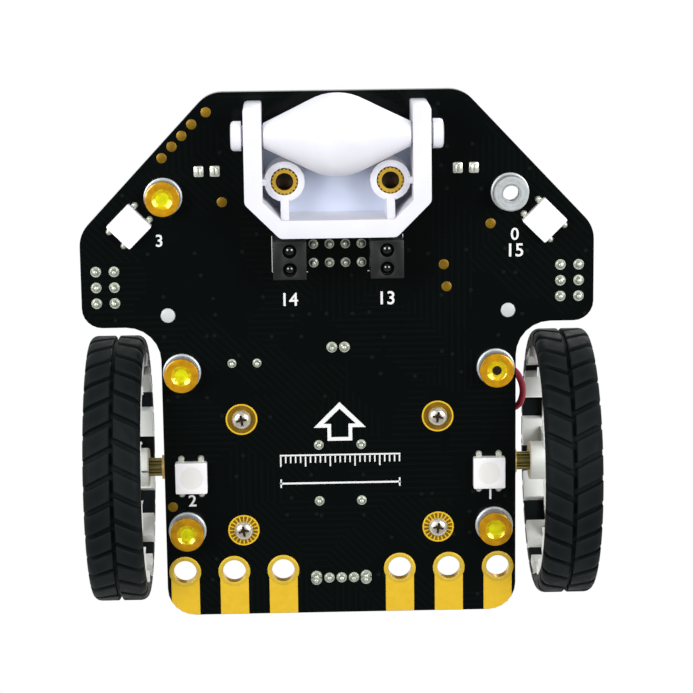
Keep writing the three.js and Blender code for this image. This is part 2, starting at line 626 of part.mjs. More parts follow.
function casterRoller() {
  const cap = [
    [0, ROLLER_END_X], [ROLLER_CAP_RADIUS - 0.4, ROLLER_END_X], [ROLLER_CAP_RADIUS, ROLLER_END_X - 0.35],
    [ROLLER_CAP_RADIUS, ARM_OUTER_X + RUNNING],
  ]
  const axle = [[ROLLER_AXLE_RADIUS, ARM_OUTER_X + RUNNING], [ROLLER_AXLE_RADIUS, ARM_INNER_X - 0.15]]
  const half = [...cap, ...axle, [1.95, 11.3], [3.2, 8.7], [4.5, 6], [5.85, 3.2], [6.3, 1.7]]
  const profile = [...half, [ROLLER_RADIUS, 0], ...half.map(([r, x]) => [r, -x]).reverse()]
  piece('caster_roller', turnedX(profile, ROLLER_Y, ROLLER_RADIUS, 24), LOOK.whitePlastic)
}

const CASTER_SCREW_SHANK_RADIUS = 1.25

function casterFixing(side, s) {
  const x = s * CASTER_SCREW_X
  const insert = turnedZ([
    [INSERT_BORE_RADIUS, INSERT_BOTTOM], [INSERT_RADIUS, INSERT_BOTTOM], [INSERT_RADIUS, INSERT_TOP],
    [INSERT_BORE_RADIUS, INSERT_TOP], [INSERT_BORE_RADIUS, INSERT_BOTTOM],
  ], x, CASTER_SCREW_Y, 16)
  piece(`${side}_caster_insert`, insert, LOOK.brass)
  const seat = BOARD_TOP + FIT
  const tip = INSERT_BOTTOM + 1.25
  const shank = [[0, tip], [CASTER_SCREW_SHANK_RADIUS, tip], [CASTER_SCREW_SHANK_RADIUS, seat]]
  const head = [[2.4, 0], [2.4, 0.7], [1.9, 1.5], [1.2, 1.8], [0, 1.85]].map(([r, up]) => [r, seat + up])
  const screw = cut(
    solid(turnedZ([...shank, ...head], x, CASTER_SCREW_Y, 12)),
    ...crossRecess(x, CASTER_SCREW_Y, seat + 0.8, seat + 3, 2.6, 0.6),
  )
  piece(`${side}_caster_screw`, screw, LOOK.nickel)
}

// ---------------------------------------------------------------- sensors and lights under the board

const SENSOR_X = 7.6
const SENSOR_Y = -17.25
const SENSOR_HALF_WIDTH = 2.6
const SENSOR_HALF_LENGTH = 3
const SENSOR_BOTTOM = 7.2
const SENSOR_WELL_RADIUS = 1.1
const SENSOR_WELL_OFFSET = 1.45
const SENSOR_WELL_DEPTH = 1.2

function lineSensor(side, s) {
  const x = s * SENSOR_X
  const body = solid(block(x - SENSOR_HALF_WIDTH, x + SENSOR_HALF_WIDTH, SENSOR_Y - SENSOR_HALF_LENGTH,
    SENSOR_Y + SENSOR_HALF_LENGTH, SENSOR_BOTTOM, BOARD_BOTTOM - FIT))
  const lenses = [-SENSOR_WELL_OFFSET, SENSOR_WELL_OFFSET].map((y) =>
    rodZ(SENSOR_WELL_RADIUS, x, SENSOR_Y + y, SENSOR_BOTTOM - 1, SENSOR_BOTTOM + SENSOR_WELL_DEPTH, 16))
  piece(`${side}_line_sensor`, cut(body, ...lenses), LOOK.greyPlastic)
}

const COLOUR_LED_HALF = 2.55
const COLOUR_LED_HEIGHT = 1.55
const COLOUR_LED_WINDOW_RADIUS = 2
const COLOUR_LED_PLACES = [
  ['front_left', 32.85, -22, Math.PI / 4],
  ['front_right', -32.85, -22, -Math.PI / 4],
  ['rear_left', 24.05, 19.1, 0],
  ['rear_right', -24.05, 19.1, 0],
]

function colourLed([name, x, y, turn]) {
  const shape = rectangle(-COLOUR_LED_HALF, COLOUR_LED_HALF, -COLOUR_LED_HALF, COLOUR_LED_HALF, 0.2, 1)
  const top = BOARD_BOTTOM - FIT
  const window = rodZ(COLOUR_LED_WINDOW_RADIUS, 0, 0, top - 3, top - COLOUR_LED_HEIGHT + 0.35, 16)
  const led = cut(solid(prismZ(shape, top - COLOUR_LED_HEIGHT, top)), window)
  const mesh = piece(`${name}_colour_led`, led, LOOK.ledWhite)
  mesh.position.set(x, y, 0)
  mesh.rotation.z = turn
}

// ---------------------------------------------------------------- parts on top of the board

const SLOT_HALF_LENGTH = 29.4
const SLOT_FRONT_Y = SLOT_Y - 3.2
const SLOT_REAR_Y = SLOT_Y + 3.2
const SLOT_TOP = 28
const SLOT_DEPTH = 8.5
const SLOT_HALF_WIDTH = 26.2
const SLOT_HALF_GAP = 0.95

function edgeConnector() {
  const low = BOARD_TOP + FIT
  const body = join(
    block(-SLOT_HALF_LENGTH, SLOT_HALF_LENGTH, SLOT_FRONT_Y, SLOT_REAR_Y, low, SLOT_TOP),
    ...[-1, 1].map((s) => rodZ(1.15, s * SLOT_PEG_X, SLOT_Y, BOARD_BOTTOM + 0.1, low + 1, 12)),
  )
  const opening = (grow, depth) => block(-SLOT_HALF_WIDTH - grow, SLOT_HALF_WIDTH + grow,
    SLOT_Y - SLOT_HALF_GAP - grow, SLOT_Y + SLOT_HALF_GAP + grow, SLOT_TOP - depth, SLOT_TOP + 1)
  const slot = opening(0, SLOT_DEPTH)
  const leadIn = opening(0.55, 0.8)
  piece('edge_connector', cut(body, slot, leadIn), LOOK.blackPlastic)
}

const RANGER_BOARD_Y = [-21.8, -20.2]
const RANGER_Z = [24, 44]
const RANGER_EYE_X = 13
const RANGER_EYE_Z = 34
const RANGER_EYE_RADIUS = 8
const RANGER_EYE_LENGTH = 12
const RANGER_HALF_WIDTH = 22.5
const RANGER_HEADER_HALF_WIDTH = 5.2
const RANGER_HEADER_DEPTH = 5.9

function rangeFinder() {
  const [front, back] = RANGER_BOARD_Y
  const [low, high] = RANGER_Z
  const plate = block(-RANGER_HALF_WIDTH, RANGER_HALF_WIDTH, front, back, low, high)
  const header = block(-RANGER_HEADER_HALF_WIDTH, RANGER_HEADER_HALF_WIDTH, back - 0.1,
    back + RANGER_HEADER_DEPTH, BOARD_TOP + FIT, low + 2.6)
  const corners = [-1, 1].flatMap((s) =>
    [low + 2, high - 2].map((z) => rodY(0.9, s * (RANGER_HALF_WIDTH - 2), z, front - 1, back + 1, 8)))
  piece('range_finder_board', cut(join(plate, header), ...corners), LOOK.blueBoard)
  for (const [side, s] of sides) {
    const end = front - RANGER_EYE_LENGTH
    const can = rodY(RANGER_EYE_RADIUS, s * RANGER_EYE_X, RANGER_EYE_Z, end, front - FIT, 24)
    const mouth = rodY(RANGER_EYE_RADIUS - 1.6, s * RANGER_EYE_X, RANGER_EYE_Z, end - 1, end + 1, 20)
    piece(`${side}_range_finder_eye`, cut(solid(can), mouth), LOOK.steel)
  }
}

const BATTERY_X = 27
const BATTERY_Y = [-1.2, 34.8]
const BATTERY_BOTTOM = BRACKET_TOP + 0.1
const BATTERY_TOP = BATTERY_BOTTOM + 11.5
const BATTERY_WALL = 1.3
const BATTERY_END_WALL = 1.6
const CELL_RADIUS = 5.1
const CELL_PITCH = 11
const CELL_LENGTH = 44.5
const LEAD_HOLE_X = [23.6, 21.8]
const LEAD_HOLE_Y = 11.2
const LEAD_HOLE_RADIUS = 0.85

function batteryBox() {
  const [front, rear] = BATTERY_Y
  const outer = prismZ(rectangle(-BATTERY_X, BATTERY_X, front, rear, 1.5), BATTERY_BOTTOM, BATTERY_TOP)
  const bay = block(BATTERY_END_WALL - BATTERY_X, BATTERY_X - BATTERY_END_WALL, front + BATTERY_WALL,
    rear - BATTERY_WALL, BATTERY_BOTTOM + BATTERY_WALL, BATTERY_TOP + 1)
  const leadHoles = LEAD_HOLE_X.map((x) =>
    rodZ(LEAD_HOLE_RADIUS, x, LEAD_HOLE_Y, BATTERY_BOTTOM - 1, BATTERY_BOTTOM + 2, 10))
  piece('battery_box', cut(solid(outer), bay, ...leadHoles), LOOK.blackPlastic)
}

function cells() {
  const middle = (BATTERY_Y[0] + BATTERY_Y[1]) / 2
  const z = BATTERY_BOTTOM + BATTERY_WALL + CELL_RADIUS + 0.1
  for (let k = -1; k <= 1; k += 1) {
    const facing = k === 0 ? -1 : 1
    const tip = CELL_LENGTH / 2
    const profile = [
      [0, -tip], [4.6, -tip], [CELL_RADIUS, 0.4 - tip], [CELL_RADIUS, tip - 1.4],
      [4.6, tip - 1], [1.9, tip - 0.9], [1.9, tip], [0, tip],
    ]
    const cell = turnedX(profile.map(([r, x]) => [r, facing * x]), middle + k * CELL_PITCH, z, 16)
    piece(`battery_cell_${k + 2}`, cell, LOOK.cell)
  }
}

const SWITCH_Y = 35.5
const SWITCH_TRAVEL = 2
const SWITCH_BODY_TOP = 20.9
const SWITCH_TRACK_FLOOR = 19
const SWITCH_LEVER_HALF = [1, 0.9]
const SWITCH_LEVER_TOP = 24.6

function powerSwitch() {
  const low = BOARD_TOP + FIT
  const body = solid(block(-4.3, 4.3, SWITCH_Y - 2.2, SWITCH_Y + 2.2, low, SWITCH_BODY_TOP))
  const [halfX, halfY] = SWITCH_LEVER_HALF
  const reach = SWITCH_TRAVEL / 2 + halfX + RUNNING
  const track = block(-reach, reach, SWITCH_Y - halfY - RUNNING, SWITCH_Y + halfY + RUNNING,
    SWITCH_TRACK_FLOOR, SWITCH_BODY_TOP + 1)
  piece('power_switch_body', cut(body, track), LOOK.steel)
  const x = -SWITCH_TRAVEL / 2
  const lever = block(x - halfX, x + halfX, SWITCH_Y - halfY, SWITCH_Y + halfY,
    SWITCH_TRACK_FLOOR + RUNNING, SWITCH_LEVER_TOP)
  piece('power_switch_lever', lever, LOOK.blackPlastic)
}

const SOCKET_X = -0.1
const SOCKET_Y = -1.85

function batterySocket() {
  const low = BOARD_TOP + FIT
  const [x, y] = [SOCKET_X, SOCKET_Y]
  const shell = join(
    block(x - 3, x + 3, y - 2.0, y + 2.3, low, 21.4),
    block(x - 2.6, x + 2.6, y - 1.7, y + 1.9, 21.2, 22.2),
  )
  piece('battery_socket', shell, LOOK.whitePlastic)
}

// Leads from the battery box to the socket: each route is the middle of the lead.
const LEAD_RADIUS = 0.55
const LEAD_ROUTES = {
  red: [
    [0.92, -1.85, 22.25], [0.92, -1.85, 23.6], [1.05, -1.85, 25.1], [2.3, -1.75, 26.4], [4.5, -1.3, 25.7],
    [6.6, -0.6, 23.2], [8.6, 0.2, 20.3], [11.2, 0.9, 18], [14.5, 1.4, 17.2], [18.5, 1.6, 17.2],
    [22.2, 1.7, 17.2],
    [25.8, 2, 17.6], [28.6, 3.4, 18.6], [30.05, 6.7, 20.2], [29.5, 9.8, 21.9], [27.4, 11, 24],
    [24.7, 11.3, 25.8], [23.6, 11.2, 27.6], [23.6, 11.2, 28.7],
  ],
  black: [
    [-1.1, -1.85, 22.25], [-1.1, -1.85, 23.6], [-0.95, -1.65, 25.1], [0.3, -0.6, 26.4], [2.7, 0.4, 25.7],
    [4.9, 1.2, 23.2], [7.1, 2, 20.2], [10, 2.7, 18], [13.8, 3, 17.2], [18, 3.2, 17.3], [21.2, 3.9, 18],
    [23.3, 5.6, 19.6], [23.8, 8, 21.8], [22.9, 10.1, 24.2], [21.9, 11.2, 26], [21.8, 11.2, 27.6],
    [21.8, 11.2, 28.7],
  ],
}

function lead(colour, look) {
  const points = LEAD_ROUTES[colour].map((p) => new THREE.Vector3(...p))
  const path = new THREE.CatmullRomCurve3(points, false, 'centripetal')
  const section = roundedOutline(
    [[0.5, 0], [0.35, 0.35], [0, 0.5], [-0.35, 0.35], [-0.5, 0], [-0.35, -0.35], [0, -0.5], [0.35, -0.35]]
      .map(([x, y]) => [2 * LEAD_RADIUS * x, 2 * LEAD_RADIUS * y]))
  const geometry = new THREE.ExtrudeGeometry(section, { steps: 30, extrudePath: path })
  piece(`${colour}_battery_lead`, geometry, look)
}

// ---------------------------------------------------------------- assembly

mainBoard()
spacerPlaces.forEach(threadedSpacer)
for (const [side, s] of sides) {
  motorCan(side, s)
  gearboxFrame(side, s)
  gearTrain(side, s)
  motorBracket(side, s)
  wheelHub(side, s)
  tyre(side, s)
  casterFixing(side, s)
  lineSensor(side, s)
}
bracketScrews.forEach(bracketScrew)
bracketScrews.forEach(bracketNut)
casterBracket()
casterRoller()
COLOUR_LED_PLACES.forEach(colourLed)
edgeConnector()
rangeFinder()
batteryBox()
cells()
powerSwitch()
batterySocket()
lead('red', LOOK.redWire)
lead('black', LOOK.blackWire)

export default robot
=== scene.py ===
"""Line follower robot: the visual model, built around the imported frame.

Shapes are worked out in millimetres and made in metres, in the frame's own axes.
The robot drives towards -Y, so +X is its left-hand side, and the floor is Z = 0.
"""
import math
import random

import bmesh
import bpy
from mathutils import Matrix, Vector


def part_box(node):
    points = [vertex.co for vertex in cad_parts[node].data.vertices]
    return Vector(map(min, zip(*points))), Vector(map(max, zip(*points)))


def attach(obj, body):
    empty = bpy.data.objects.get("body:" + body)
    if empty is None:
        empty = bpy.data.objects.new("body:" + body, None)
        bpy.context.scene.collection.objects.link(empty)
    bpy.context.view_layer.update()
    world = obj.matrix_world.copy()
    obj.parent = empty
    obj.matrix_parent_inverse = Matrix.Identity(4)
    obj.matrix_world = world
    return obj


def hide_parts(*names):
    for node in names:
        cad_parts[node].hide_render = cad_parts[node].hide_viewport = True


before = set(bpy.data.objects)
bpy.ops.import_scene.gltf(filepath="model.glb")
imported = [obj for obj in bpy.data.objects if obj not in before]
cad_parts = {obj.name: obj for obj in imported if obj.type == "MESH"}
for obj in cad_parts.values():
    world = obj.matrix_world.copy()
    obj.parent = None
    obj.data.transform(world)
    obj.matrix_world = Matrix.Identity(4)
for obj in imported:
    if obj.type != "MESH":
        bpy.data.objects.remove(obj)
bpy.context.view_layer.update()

MM = 0.001
SIDES = (("left", 1), ("right", -1))
scene = bpy.context.scene


def low_high(node):
    """A node's lowest and highest corners in millimetres."""
    low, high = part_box(node)
    return Vector(low) / MM, Vector(high) / MM


# ---------------- camera

CAMERA_AT = Vector((-7.2, -80.7, -361.0)) * MM
CAMERA_RIGHT = Vector((0.99961, 0.01223, -0.02503))
CAMERA_FORWARD = Vector((0.02199, 0.20513, 0.97849))
CAMERA_LENS = 124.68
SENSOR_WIDTH = 36.0


def make_camera():
    data = bpy.data.cameras.new("camera")
    data.lens = CAMERA_LENS
    data.sensor_width = SENSOR_WIDTH
    data.clip_start = 0.01
    data.clip_end = 60
    camera = bpy.data.objects.new("camera", data)
    scene.collection.objects.link(camera)
    back = -CAMERA_FORWARD.normalized()
    right = CAMERA_RIGHT.normalized()
    up = back.cross(right).normalized()
    camera.matrix_world = Matrix.Translation(CAMERA_AT) @ Matrix((right, up, back)).transposed().to_4x4()
    scene.camera = camera


make_camera()

# ---------------- materials


class Look:
    """A procedural material whose textures are measured in millimetres."""

    def __init__(self, name, slot, colour, roughness, metallic=0.0, **sockets):
        self.slot = slot
        self.material = bpy.data.materials.new(name)
        self.material.use_nodes = True
        self.tree = self.material.node_tree
        self.shader = self.tree.nodes["Principled BSDF"]
        self.colour = colour
        self.roughness = roughness
        self.shader.inputs["Base Color"].default_value = (*colour, 1)
        self.shader.inputs["Roughness"].default_value = roughness
        self.shader.inputs["Metallic"].default_value = metallic
        for socket, value in sockets.items():
            self.shader.inputs[socket.replace("_", " ")].default_value = value
        coordinates = self.node("TexCoord").outputs["Object"]
        self.place = self.node("VectorMath", {0: coordinates, "Scale": 1 / MM}, operation="SCALE").outputs[0]

    def node(self, kind, inputs=None, **properties):
        node = self.tree.nodes.new("ShaderNode" + kind)
        for key, value in properties.items():
            setattr(node, key, value)
        for key, value in (inputs or {}).items():
            self.feed(node.inputs[key], value)
        return node

    def feed(self, socket, value):
        if isinstance(value, bpy.types.NodeSocket):
            self.tree.links.new(value, socket)
        else:
            socket.default_value = value

    def math(self, operation, a, b=0.0):
        return self.node("Math", {0: a, 1: b}, operation=operation).outputs[0]

    def noise(self, size, detail=3.0, stretch=(1, 1, 1)):
        """Noise whose features are about size millimetres across."""
        at = self.node("VectorMath", {0: self.place, 1: stretch}, operation="MULTIPLY").outputs[0]
        return self.node("TexNoise", {"Vector": at, "Scale": 1 / size, "Detail": detail}).outputs["Fac"]

    def spread(self, factor, low, high):
        """Maps a factor's middle range to low..high."""
        return self.node("MapRange", {"Value": factor, "From Min": 0.3, "From Max": 0.7,
                                      "To Min": low, "To Max": high}).outputs["Result"]

    def mix(self, factor, a, b):
        four = [(*c, 1) if isinstance(c, tuple) and len(c) == 3 else c for c in (a, b)]
        node = self.node("Mix", {0: factor, 6: four[0], 7: four[1]}, data_type="RGBA")
        return node.outputs[2]

    def set(self, socket, value):
        self.feed(self.shader.inputs[socket], value)

    def bump(self, height, depth, strength=1.0):
        """Bump whose full height is depth millimetres."""
        node = self.node("Bump", {"Height": height, "Strength": strength, "Distance": depth * MM})
        self.set("Normal", node.outputs["Normal"])


def shade(colour, factor):
    return tuple(min(1.0, c * factor) for c in colour)


def worn(look, size=3.0, contrast=0.12, rough=0.06, grain=0.25, depth=0.01, stretch=(1, 1, 1)):
    """Slight variation of colour and gloss, and a fine grain."""
    broad = look.noise(size, 4.0, stretch)
    look.set("Base Color", look.mix(look.spread(broad, 0, 1), shade(look.colour, 1 - contrast),
                                    shade(look.colour, 1 + contrast)))
    look.set("Roughness", look.spread(look.noise(size * 0.6), look.roughness - rough,
                                      look.roughness + rough))
    look.bump(look.noise(grain, 2.0, stretch), depth)
    return look


def plastic(name, slot, colour, roughness=0.4, **sockets):
    return worn(Look(name, slot, colour, roughness, **sockets), size=6, contrast=0.04,
                grain=0.4, depth=0.012)


def metal(name, slot, colour, roughness=0.25, stretch=(1, 1, 1), metallic=1.0, contrast=0.08):
    return worn(Look(name, slot, colour, roughness, metallic), size=1.5, contrast=contrast, rough=0.05,
                grain=0.15, depth=0.002, stretch=stretch)


def solder_mask():
    """Black solder mask with the copper tracks showing faintly through it."""
    look = Look("solder_mask", "circuit_board", (0.0014, 0.0026, 0.0021), 0.16, Specular_IOR_Level=0.13)
    region = look.node("TexVoronoi", {"Vector": look.place, "Scale": 0.12}, voronoi_dimensions="2D",
                       distance="MANHATTAN").outputs["Color"]
    channel = look.node("SeparateColor", {0: region})
    tracks = None
    for turn, gate in ((0, 0.0), (45, 0.28), (90, 0.52)):
        at = look.node("VectorRotate", {"Vector": look.place, "Angle": math.radians(turn)},
                       rotation_type="Z_AXIS").outputs[0]
        across = look.node("SeparateXYZ", {0: at}).outputs[0]
        wave = look.math("GREATER_THAN", look.math("SINE", look.math("MULTIPLY", across, 6.3)), 0.45)
        inside = look.math("MULTIPLY", look.math("GREATER_THAN", channel.outputs[0], gate),
                           look.math("LESS_THAN", channel.outputs[0], gate + 0.2))
        part = look.math("MULTIPLY", wave, inside)
        tracks = part if tracks is None else look.math("ADD", tracks, part)
    holes = look.node("TexVoronoi", {"Vector": look.place, "Scale": 0.3}, voronoi_dimensions="2D")
    picked = look.node("SeparateColor", {0: holes.outputs["Color"]}).outputs[1]
    chosen = look.math("GREATER_THAN", picked, 0.74)
    ring = look.math("MULTIPLY", look.math("LESS_THAN", holes.outputs["Distance"], 0.09), chosen)
    plain = look.mix(look.noise(9, 3), (0.0008, 0.0017, 0.0016), (0.0014, 0.0026, 0.0024))
    tracked = look.mix(look.math("MULTIPLY", tracks, 0.4), plain, (0.0030, 0.0048, 0.0044))
    look.set("Base Color", look.mix(ring, tracked, (0.0065, 0.0085, 0.0070)))
    look.set("Roughness", look.spread(look.noise(2), 0.14, 0.2))
    look.bump(look.math("ADD", look.math("MULTIPLY", tracks, 0.5), ring), 0.003)
    return look


def rubber():
    look = Look("tyre_rubber", "tyre_rubber", (0.004, 0.006, 0.006), 0.65, Specular_IOR_Level=0.07)
    edge = look.node("NewGeometry").outputs["Pointiness"]
    raised = look.node("MapRange", {"Value": edge, "From Min": 0.5, "From Max": 0.56}).outputs["Result"]
    body = look.mix(look.spread(look.noise(4), 0, 1), (0.0020, 0.0034, 0.0036), (0.0042, 0.0064, 0.0066))
    look.set("Base Color", look.mix(look.math("MULTIPLY", raised, 0.5), body, (0.014, 0.018, 0.019)))
    look.set("Roughness", look.spread(look.noise(1.5), 0.5, 0.66))
    look.bump(look.noise(0.35, 4), 0.03)
    return look


UNDER_RECESS_Z = 13.2
RECESS_HALF_WIDTH = 11.7


def caster_plastic_painted_shade():
    """White plastic, with painted bluish shade on the floor of the recess between the walls."""
    look = Look("caster_plastic_painted_shade", "white_plastic", (0.82, 0.82, 0.88), 0.38)
    split = look.node("SeparateXYZ", {0: look.place})
    deep = look.math("GREATER_THAN", split.outputs["Z"], UNDER_RECESS_Z)
    inside = look.math("LESS_THAN", look.math("ABSOLUTE", split.outputs["X"]), RECESS_HALF_WIDTH)
    painted_recess_shade = look.math("MULTIPLY", deep, inside)
    tone = look.mix(look.spread(look.noise(6), 0, 1), (0.73, 0.73, 0.79), (0.77, 0.77, 0.83))
    # painted shade: the recess floor between the walls is painted darker and bluer
    look.set("Base Color", look.mix(painted_recess_shade, tone, (0.56, 0.61, 0.74)))
    look.set("Roughness", look.spread(look.noise(3), 0.34, 0.42))
    look.bump(look.noise(0.4, 2), 0.01)
    return look


def wrap(name, band_from, band_to, body, band):
    """A cell's printed sleeve: a plain body with one band around it."""
    look = Look(name, "cell_wrap", body, 0.3, 0.35)
    along = look.node("SeparateXYZ", {0: look.place}).outputs[0]
    after = look.math("GREATER_THAN", along, band_from)
    before = look.math("LESS_THAN", along, band_to)
    inside = look.math("MULTIPLY", after, before)
    grain = look.mix(look.noise(0.5, 3, (0.1, 1, 1)), shade(body, 0.85), shade(body, 1.15))
    look.set("Base Color", look.mix(inside, grain, band))
    look.set("Roughness", look.spread(look.noise(3), 0.26, 0.36))
    look.bump(look.noise(0.4), 0.006)
    return look


MASK = solder_mask()
RUBBER = rubber()
GOLD = metal("gold_plating", "brass", (0.96, 0.61, 0.030), 0.4, metallic=0.4, contrast=0.02)
RING_GOLD = metal("ring_gold", "brass", (0.86, 0.60, 0.06), 0.34, metallic=0.45)
DULL_GOLD = metal("dull_gold", "brass", (0.27, 0.15, 0.004), 0.35, metallic=0.5, contrast=0.25)
# painted shade for the inside of bores and the bottom of screw recesses
DARK_BORE = metal("bore_shadow", "brass", (0.030, 0.016, 0.006), 0.3, metallic=0.3)
BRASS = metal("turned_brass", "brass", (0.80, 0.50, 0.06), 0.3, (1, 1, 0.15), 0.6)
GEAR_BRASS = metal("gear_brass", "brass", (0.74, 0.54, 0.22), 0.36, metallic=0.6, contrast=0.03)
NICKEL = metal("nickel_plate", "nickel", (0.58, 0.61, 0.62), 0.42, (1, 1, 0.2), 0.6)
SCREW = metal("screw_nickel", "screw_steel", (0.80, 0.76, 0.66), 0.3, metallic=0.75)
STEEL = metal("motor_steel", "motor_steel", (0.62, 0.62, 0.60), 0.3, (0.15, 1, 1))
SHAFT = metal("shaft_steel", "shaft_steel", (0.34, 0.29, 0.10), 0.35, (0.15, 1, 1), 0.8)
SOLDER = metal("solder", "nickel", (0.72, 0.76, 0.65), 0.3, metallic=0.6)
BRIGHT_SOLDER = metal("bright_solder", "nickel", (0.86, 0.90, 0.80), 0.3, metallic=0.5)
EYE_METAL = metal("eye_metal", "eye_metal", (0.66, 0.67, 0.68), 0.38, metallic=0.7, contrast=0.03)
WHITE = plastic("white_plastic", "white_plastic", (0.80, 0.80, 0.87), 0.38, Subsurface_Weight=0.06,
                Subsurface_Scale=0.001)
CASTER_WHITE = caster_plastic_painted_shade()
# One white plastic in two copies: the disc's copy is darker as painted shade, the lugs' copy lighter as
# painted light.
HUB_WHITE_SHADED = plastic("hub_plastic_shaded", "white_plastic", (0.82, 0.84, 0.81), 0.42)
LUG_WHITE_LIT = plastic("lug_plastic_lit", "white_plastic", (0.92, 0.94, 0.92), 0.42)
PEG_WHITE = plastic("peg_plastic", "white_plastic", (0.55, 0.58, 0.58), 0.4)
ROLLER_WHITE = plastic("roller_plastic", "roller_plastic", (0.78, 0.78, 0.84), 0.34)
LED_WHITE = plastic("led_housing", "led_white", (0.94, 0.92, 0.94), 0.4)
LED_FILL = plastic("led_filling", "led_white", (0.87, 0.85, 0.83), 0.3, Coat_Weight=0.2)
BLACK = plastic("black_plastic", "black_plastic", (0.012, 0.012, 0.013), 0.42)
SENSOR = plastic("sensor_plastic", "sensor_plastic", (0.0065, 0.0085, 0.0072), 0.38)
SENSOR_LENS = plastic("sensor_lens", "sensor_plastic", (0.002, 0.002, 0.003), 0.06, Coat_Weight=1.0)
MODULE = plastic("module_board", "module_board", (0.012, 0.055, 0.16), 0.3)
RED = plastic("red_insulation", "red_insulation", (0.60, 0.010, 0.055), 0.3)
BLACK_WIRE = plastic("black_insulation", "black_insulation", (0.010, 0.010, 0.011), 0.3)
FILM = Look("amber_film", "nickel", (0.60, 0.29, 0.0005), 0.2, 0.3, Coat_Weight=0.3, Coat_Roughness=0.05)
worn(FILM, 1.2, 0.22, 0.03, 1.4, 0.03)
# The slope and centre copies of the film are painted lighter as painted highlights, and the dark copy is
# painted shade of the bore.
FILM_CENTRE_HIGHLIGHT = Look("amber_film_centre_highlight", "nickel", (0.92, 0.84, 0.0005), 0.15, 0.3, Coat_Weight=0.3)
worn(FILM_CENTRE_HIGHLIGHT, 0.9, 0.25, 0.03, 0.8, 0.05)
FILM_SLOPE_HIGHLIGHT = Look("amber_film_slope_highlight", "nickel", (0.78, 0.55, 0.0005), 0.15, 0.3, Coat_Weight=0.4)
worn(FILM_SLOPE_HIGHLIGHT, 0.7, 0.3, 0.03, 0.8, 0.05)
BORE_SHADE_FILM = Look("amber_film_bore_shade", "nickel", (0.010, 0.006, 0.001), 0.15, 0.0, Coat_Weight=0.3)
worn(BORE_SHADE_FILM, 0.8, 0.3, 0.03, 0.8, 0.03)
LEGEND = plastic("white_legend", "circuit_board", (0.80, 0.80, 0.80), 0.5)
LAMP = plastic("lamp_lens", "led_white", (0.80, 0.84, 0.90), 0.08, Coat_Weight=0.5)
GRILLE = metal("eye_grille", "eye_metal", (0.25, 0.26, 0.27), 0.4)
CHIP_BROWN = plastic("ceramic_part", "circuit_board", (0.22, 0.13, 0.07), 0.35)
CELLS = [wrap(f"cell_sleeve_{k + 1}", lo, lo + 12, (0.02, 0.10, 0.07), (0.62, 0.60, 0.55))
         for k, lo in enumerate((9.5, -21.5, 9.5))]

# ---------------- shapes, in millimetres

ALONG_X = Matrix.Rotation(math.pi / 2, 4, "Y")
ALONG_Y = Matrix.Rotation(-math.pi / 2, 4, "X")
FLAT_IN_YZ = Matrix(((0, 0, 1, 0), (1, 0, 0, 0), (0, 1, 0, 0), (0, 0, 0, 1)))


def at(x, y, z, turn=Matrix()):
    return Matrix.Translation((x, y, z)) @ turn


def circle(radius, steps=48, x=0.0, y=0.0, start=0.0):
    return [(x + radius * math.cos(start + 2 * math.pi * k / steps),
             y + radius * math.sin(start + 2 * math.pi * k / steps)) for k in range(steps)]


def toothed(count, tooth, x=0.0, y=0.0):
    """An outline of equal teeth, each made of (radius, share of a tooth) points."""
    points = []
    for k in range(count):
        for radius, share in tooth:
            angle = 2 * math.pi * (k + share) / count
            points.append((x + radius * math.cos(angle), y + radius * math.sin(angle)))
    return points


def rounded(x0, x1, y0, y1, radius, steps=5):
    """A rectangle with rounded corners."""
    corners = ((x1 - radius, y1 - radius, 0), (x0 + radius, y1 - radius, 1),
               (x0 + radius, y0 + radius, 2), (x1 - radius, y0 + radius, 3))
    points = []
    for x, y, quarter in corners:
        for k in range(steps + 1):
            angle = (quarter + k / steps) * math.pi / 2
            points.append((x + radius * math.cos(angle), y + radius * math.sin(angle)))
    return points


def lathe(bm, profile, steps=48, place=Matrix(), closed=False):
    """Turns (radius, along) points about the local Z axis."""
    rings = []
    for radius, along in profile:
        ring = circle(radius, steps) if radius > 0 else [(0, 0)]
        rings.append([bm.verts.new(place @ Vector((x, y, along))) for x, y in ring])
    pairs = list(zip(rings, rings[1:]))
    if closed:
        pairs.append((rings[-1], rings[0]))
    for low, high in pairs:
        for k in range(steps):
            loop = [ring[j % len(ring)] for ring, j in ((low, k), (low, k + 1), (high, k + 1), (high, k))]
            corners = list(dict.fromkeys(loop))
            if len(corners) > 2:
                bm.faces.new(corners)
    return bm


def prism(bm, outline, low, high, place=Matrix(), holes=()):
    """An outline with holes, lifted from low to high along the local Z axis."""
    part = bmesh.new()
    rings = []
    for loop in (outline, *holes):
        ring = [part.verts.new((x, y, 0)) for x, y in loop]
        for a, b in zip(ring, ring[1:] + ring[:1]):
            part.edges.new((a, b))
        rings.append(ring)
    bmesh.ops.triangle_fill(part, edges=part.edges[:], use_beauty=True, normal=(0, 0, 1))
    ends = []
    for height in (low, high):
        ends.append({v: bm.verts.new(place @ Vector((v.co.x, v.co.y, height))) for v in part.verts})
    for face in part.faces:
        for end in ends:
            bm.faces.new([end[v] for v in face.verts])
    for ring in rings:
        for a, b in zip(ring, ring[1:] + ring[:1]):
            bm.faces.new((ends[0][a], ends[0][b], ends[1][b], ends[1][a]))
    part.free()
    return bm


def block(bm, low, high, edge=0.0, place=Matrix()):
    """A box with rounded edges."""
    part = bmesh.new()
    bmesh.ops.create_cube(part, size=1)
    for v in part.verts:
        v.co = Vector(low[i] if v.co[i] < 0 else high[i] for i in range(3))
    if edge:
        bmesh.ops.bevel(part, geom=part.edges[:], offset=edge, segments=2, profile=0.5, affect="EDGES")
    return gather(bm, part, place)


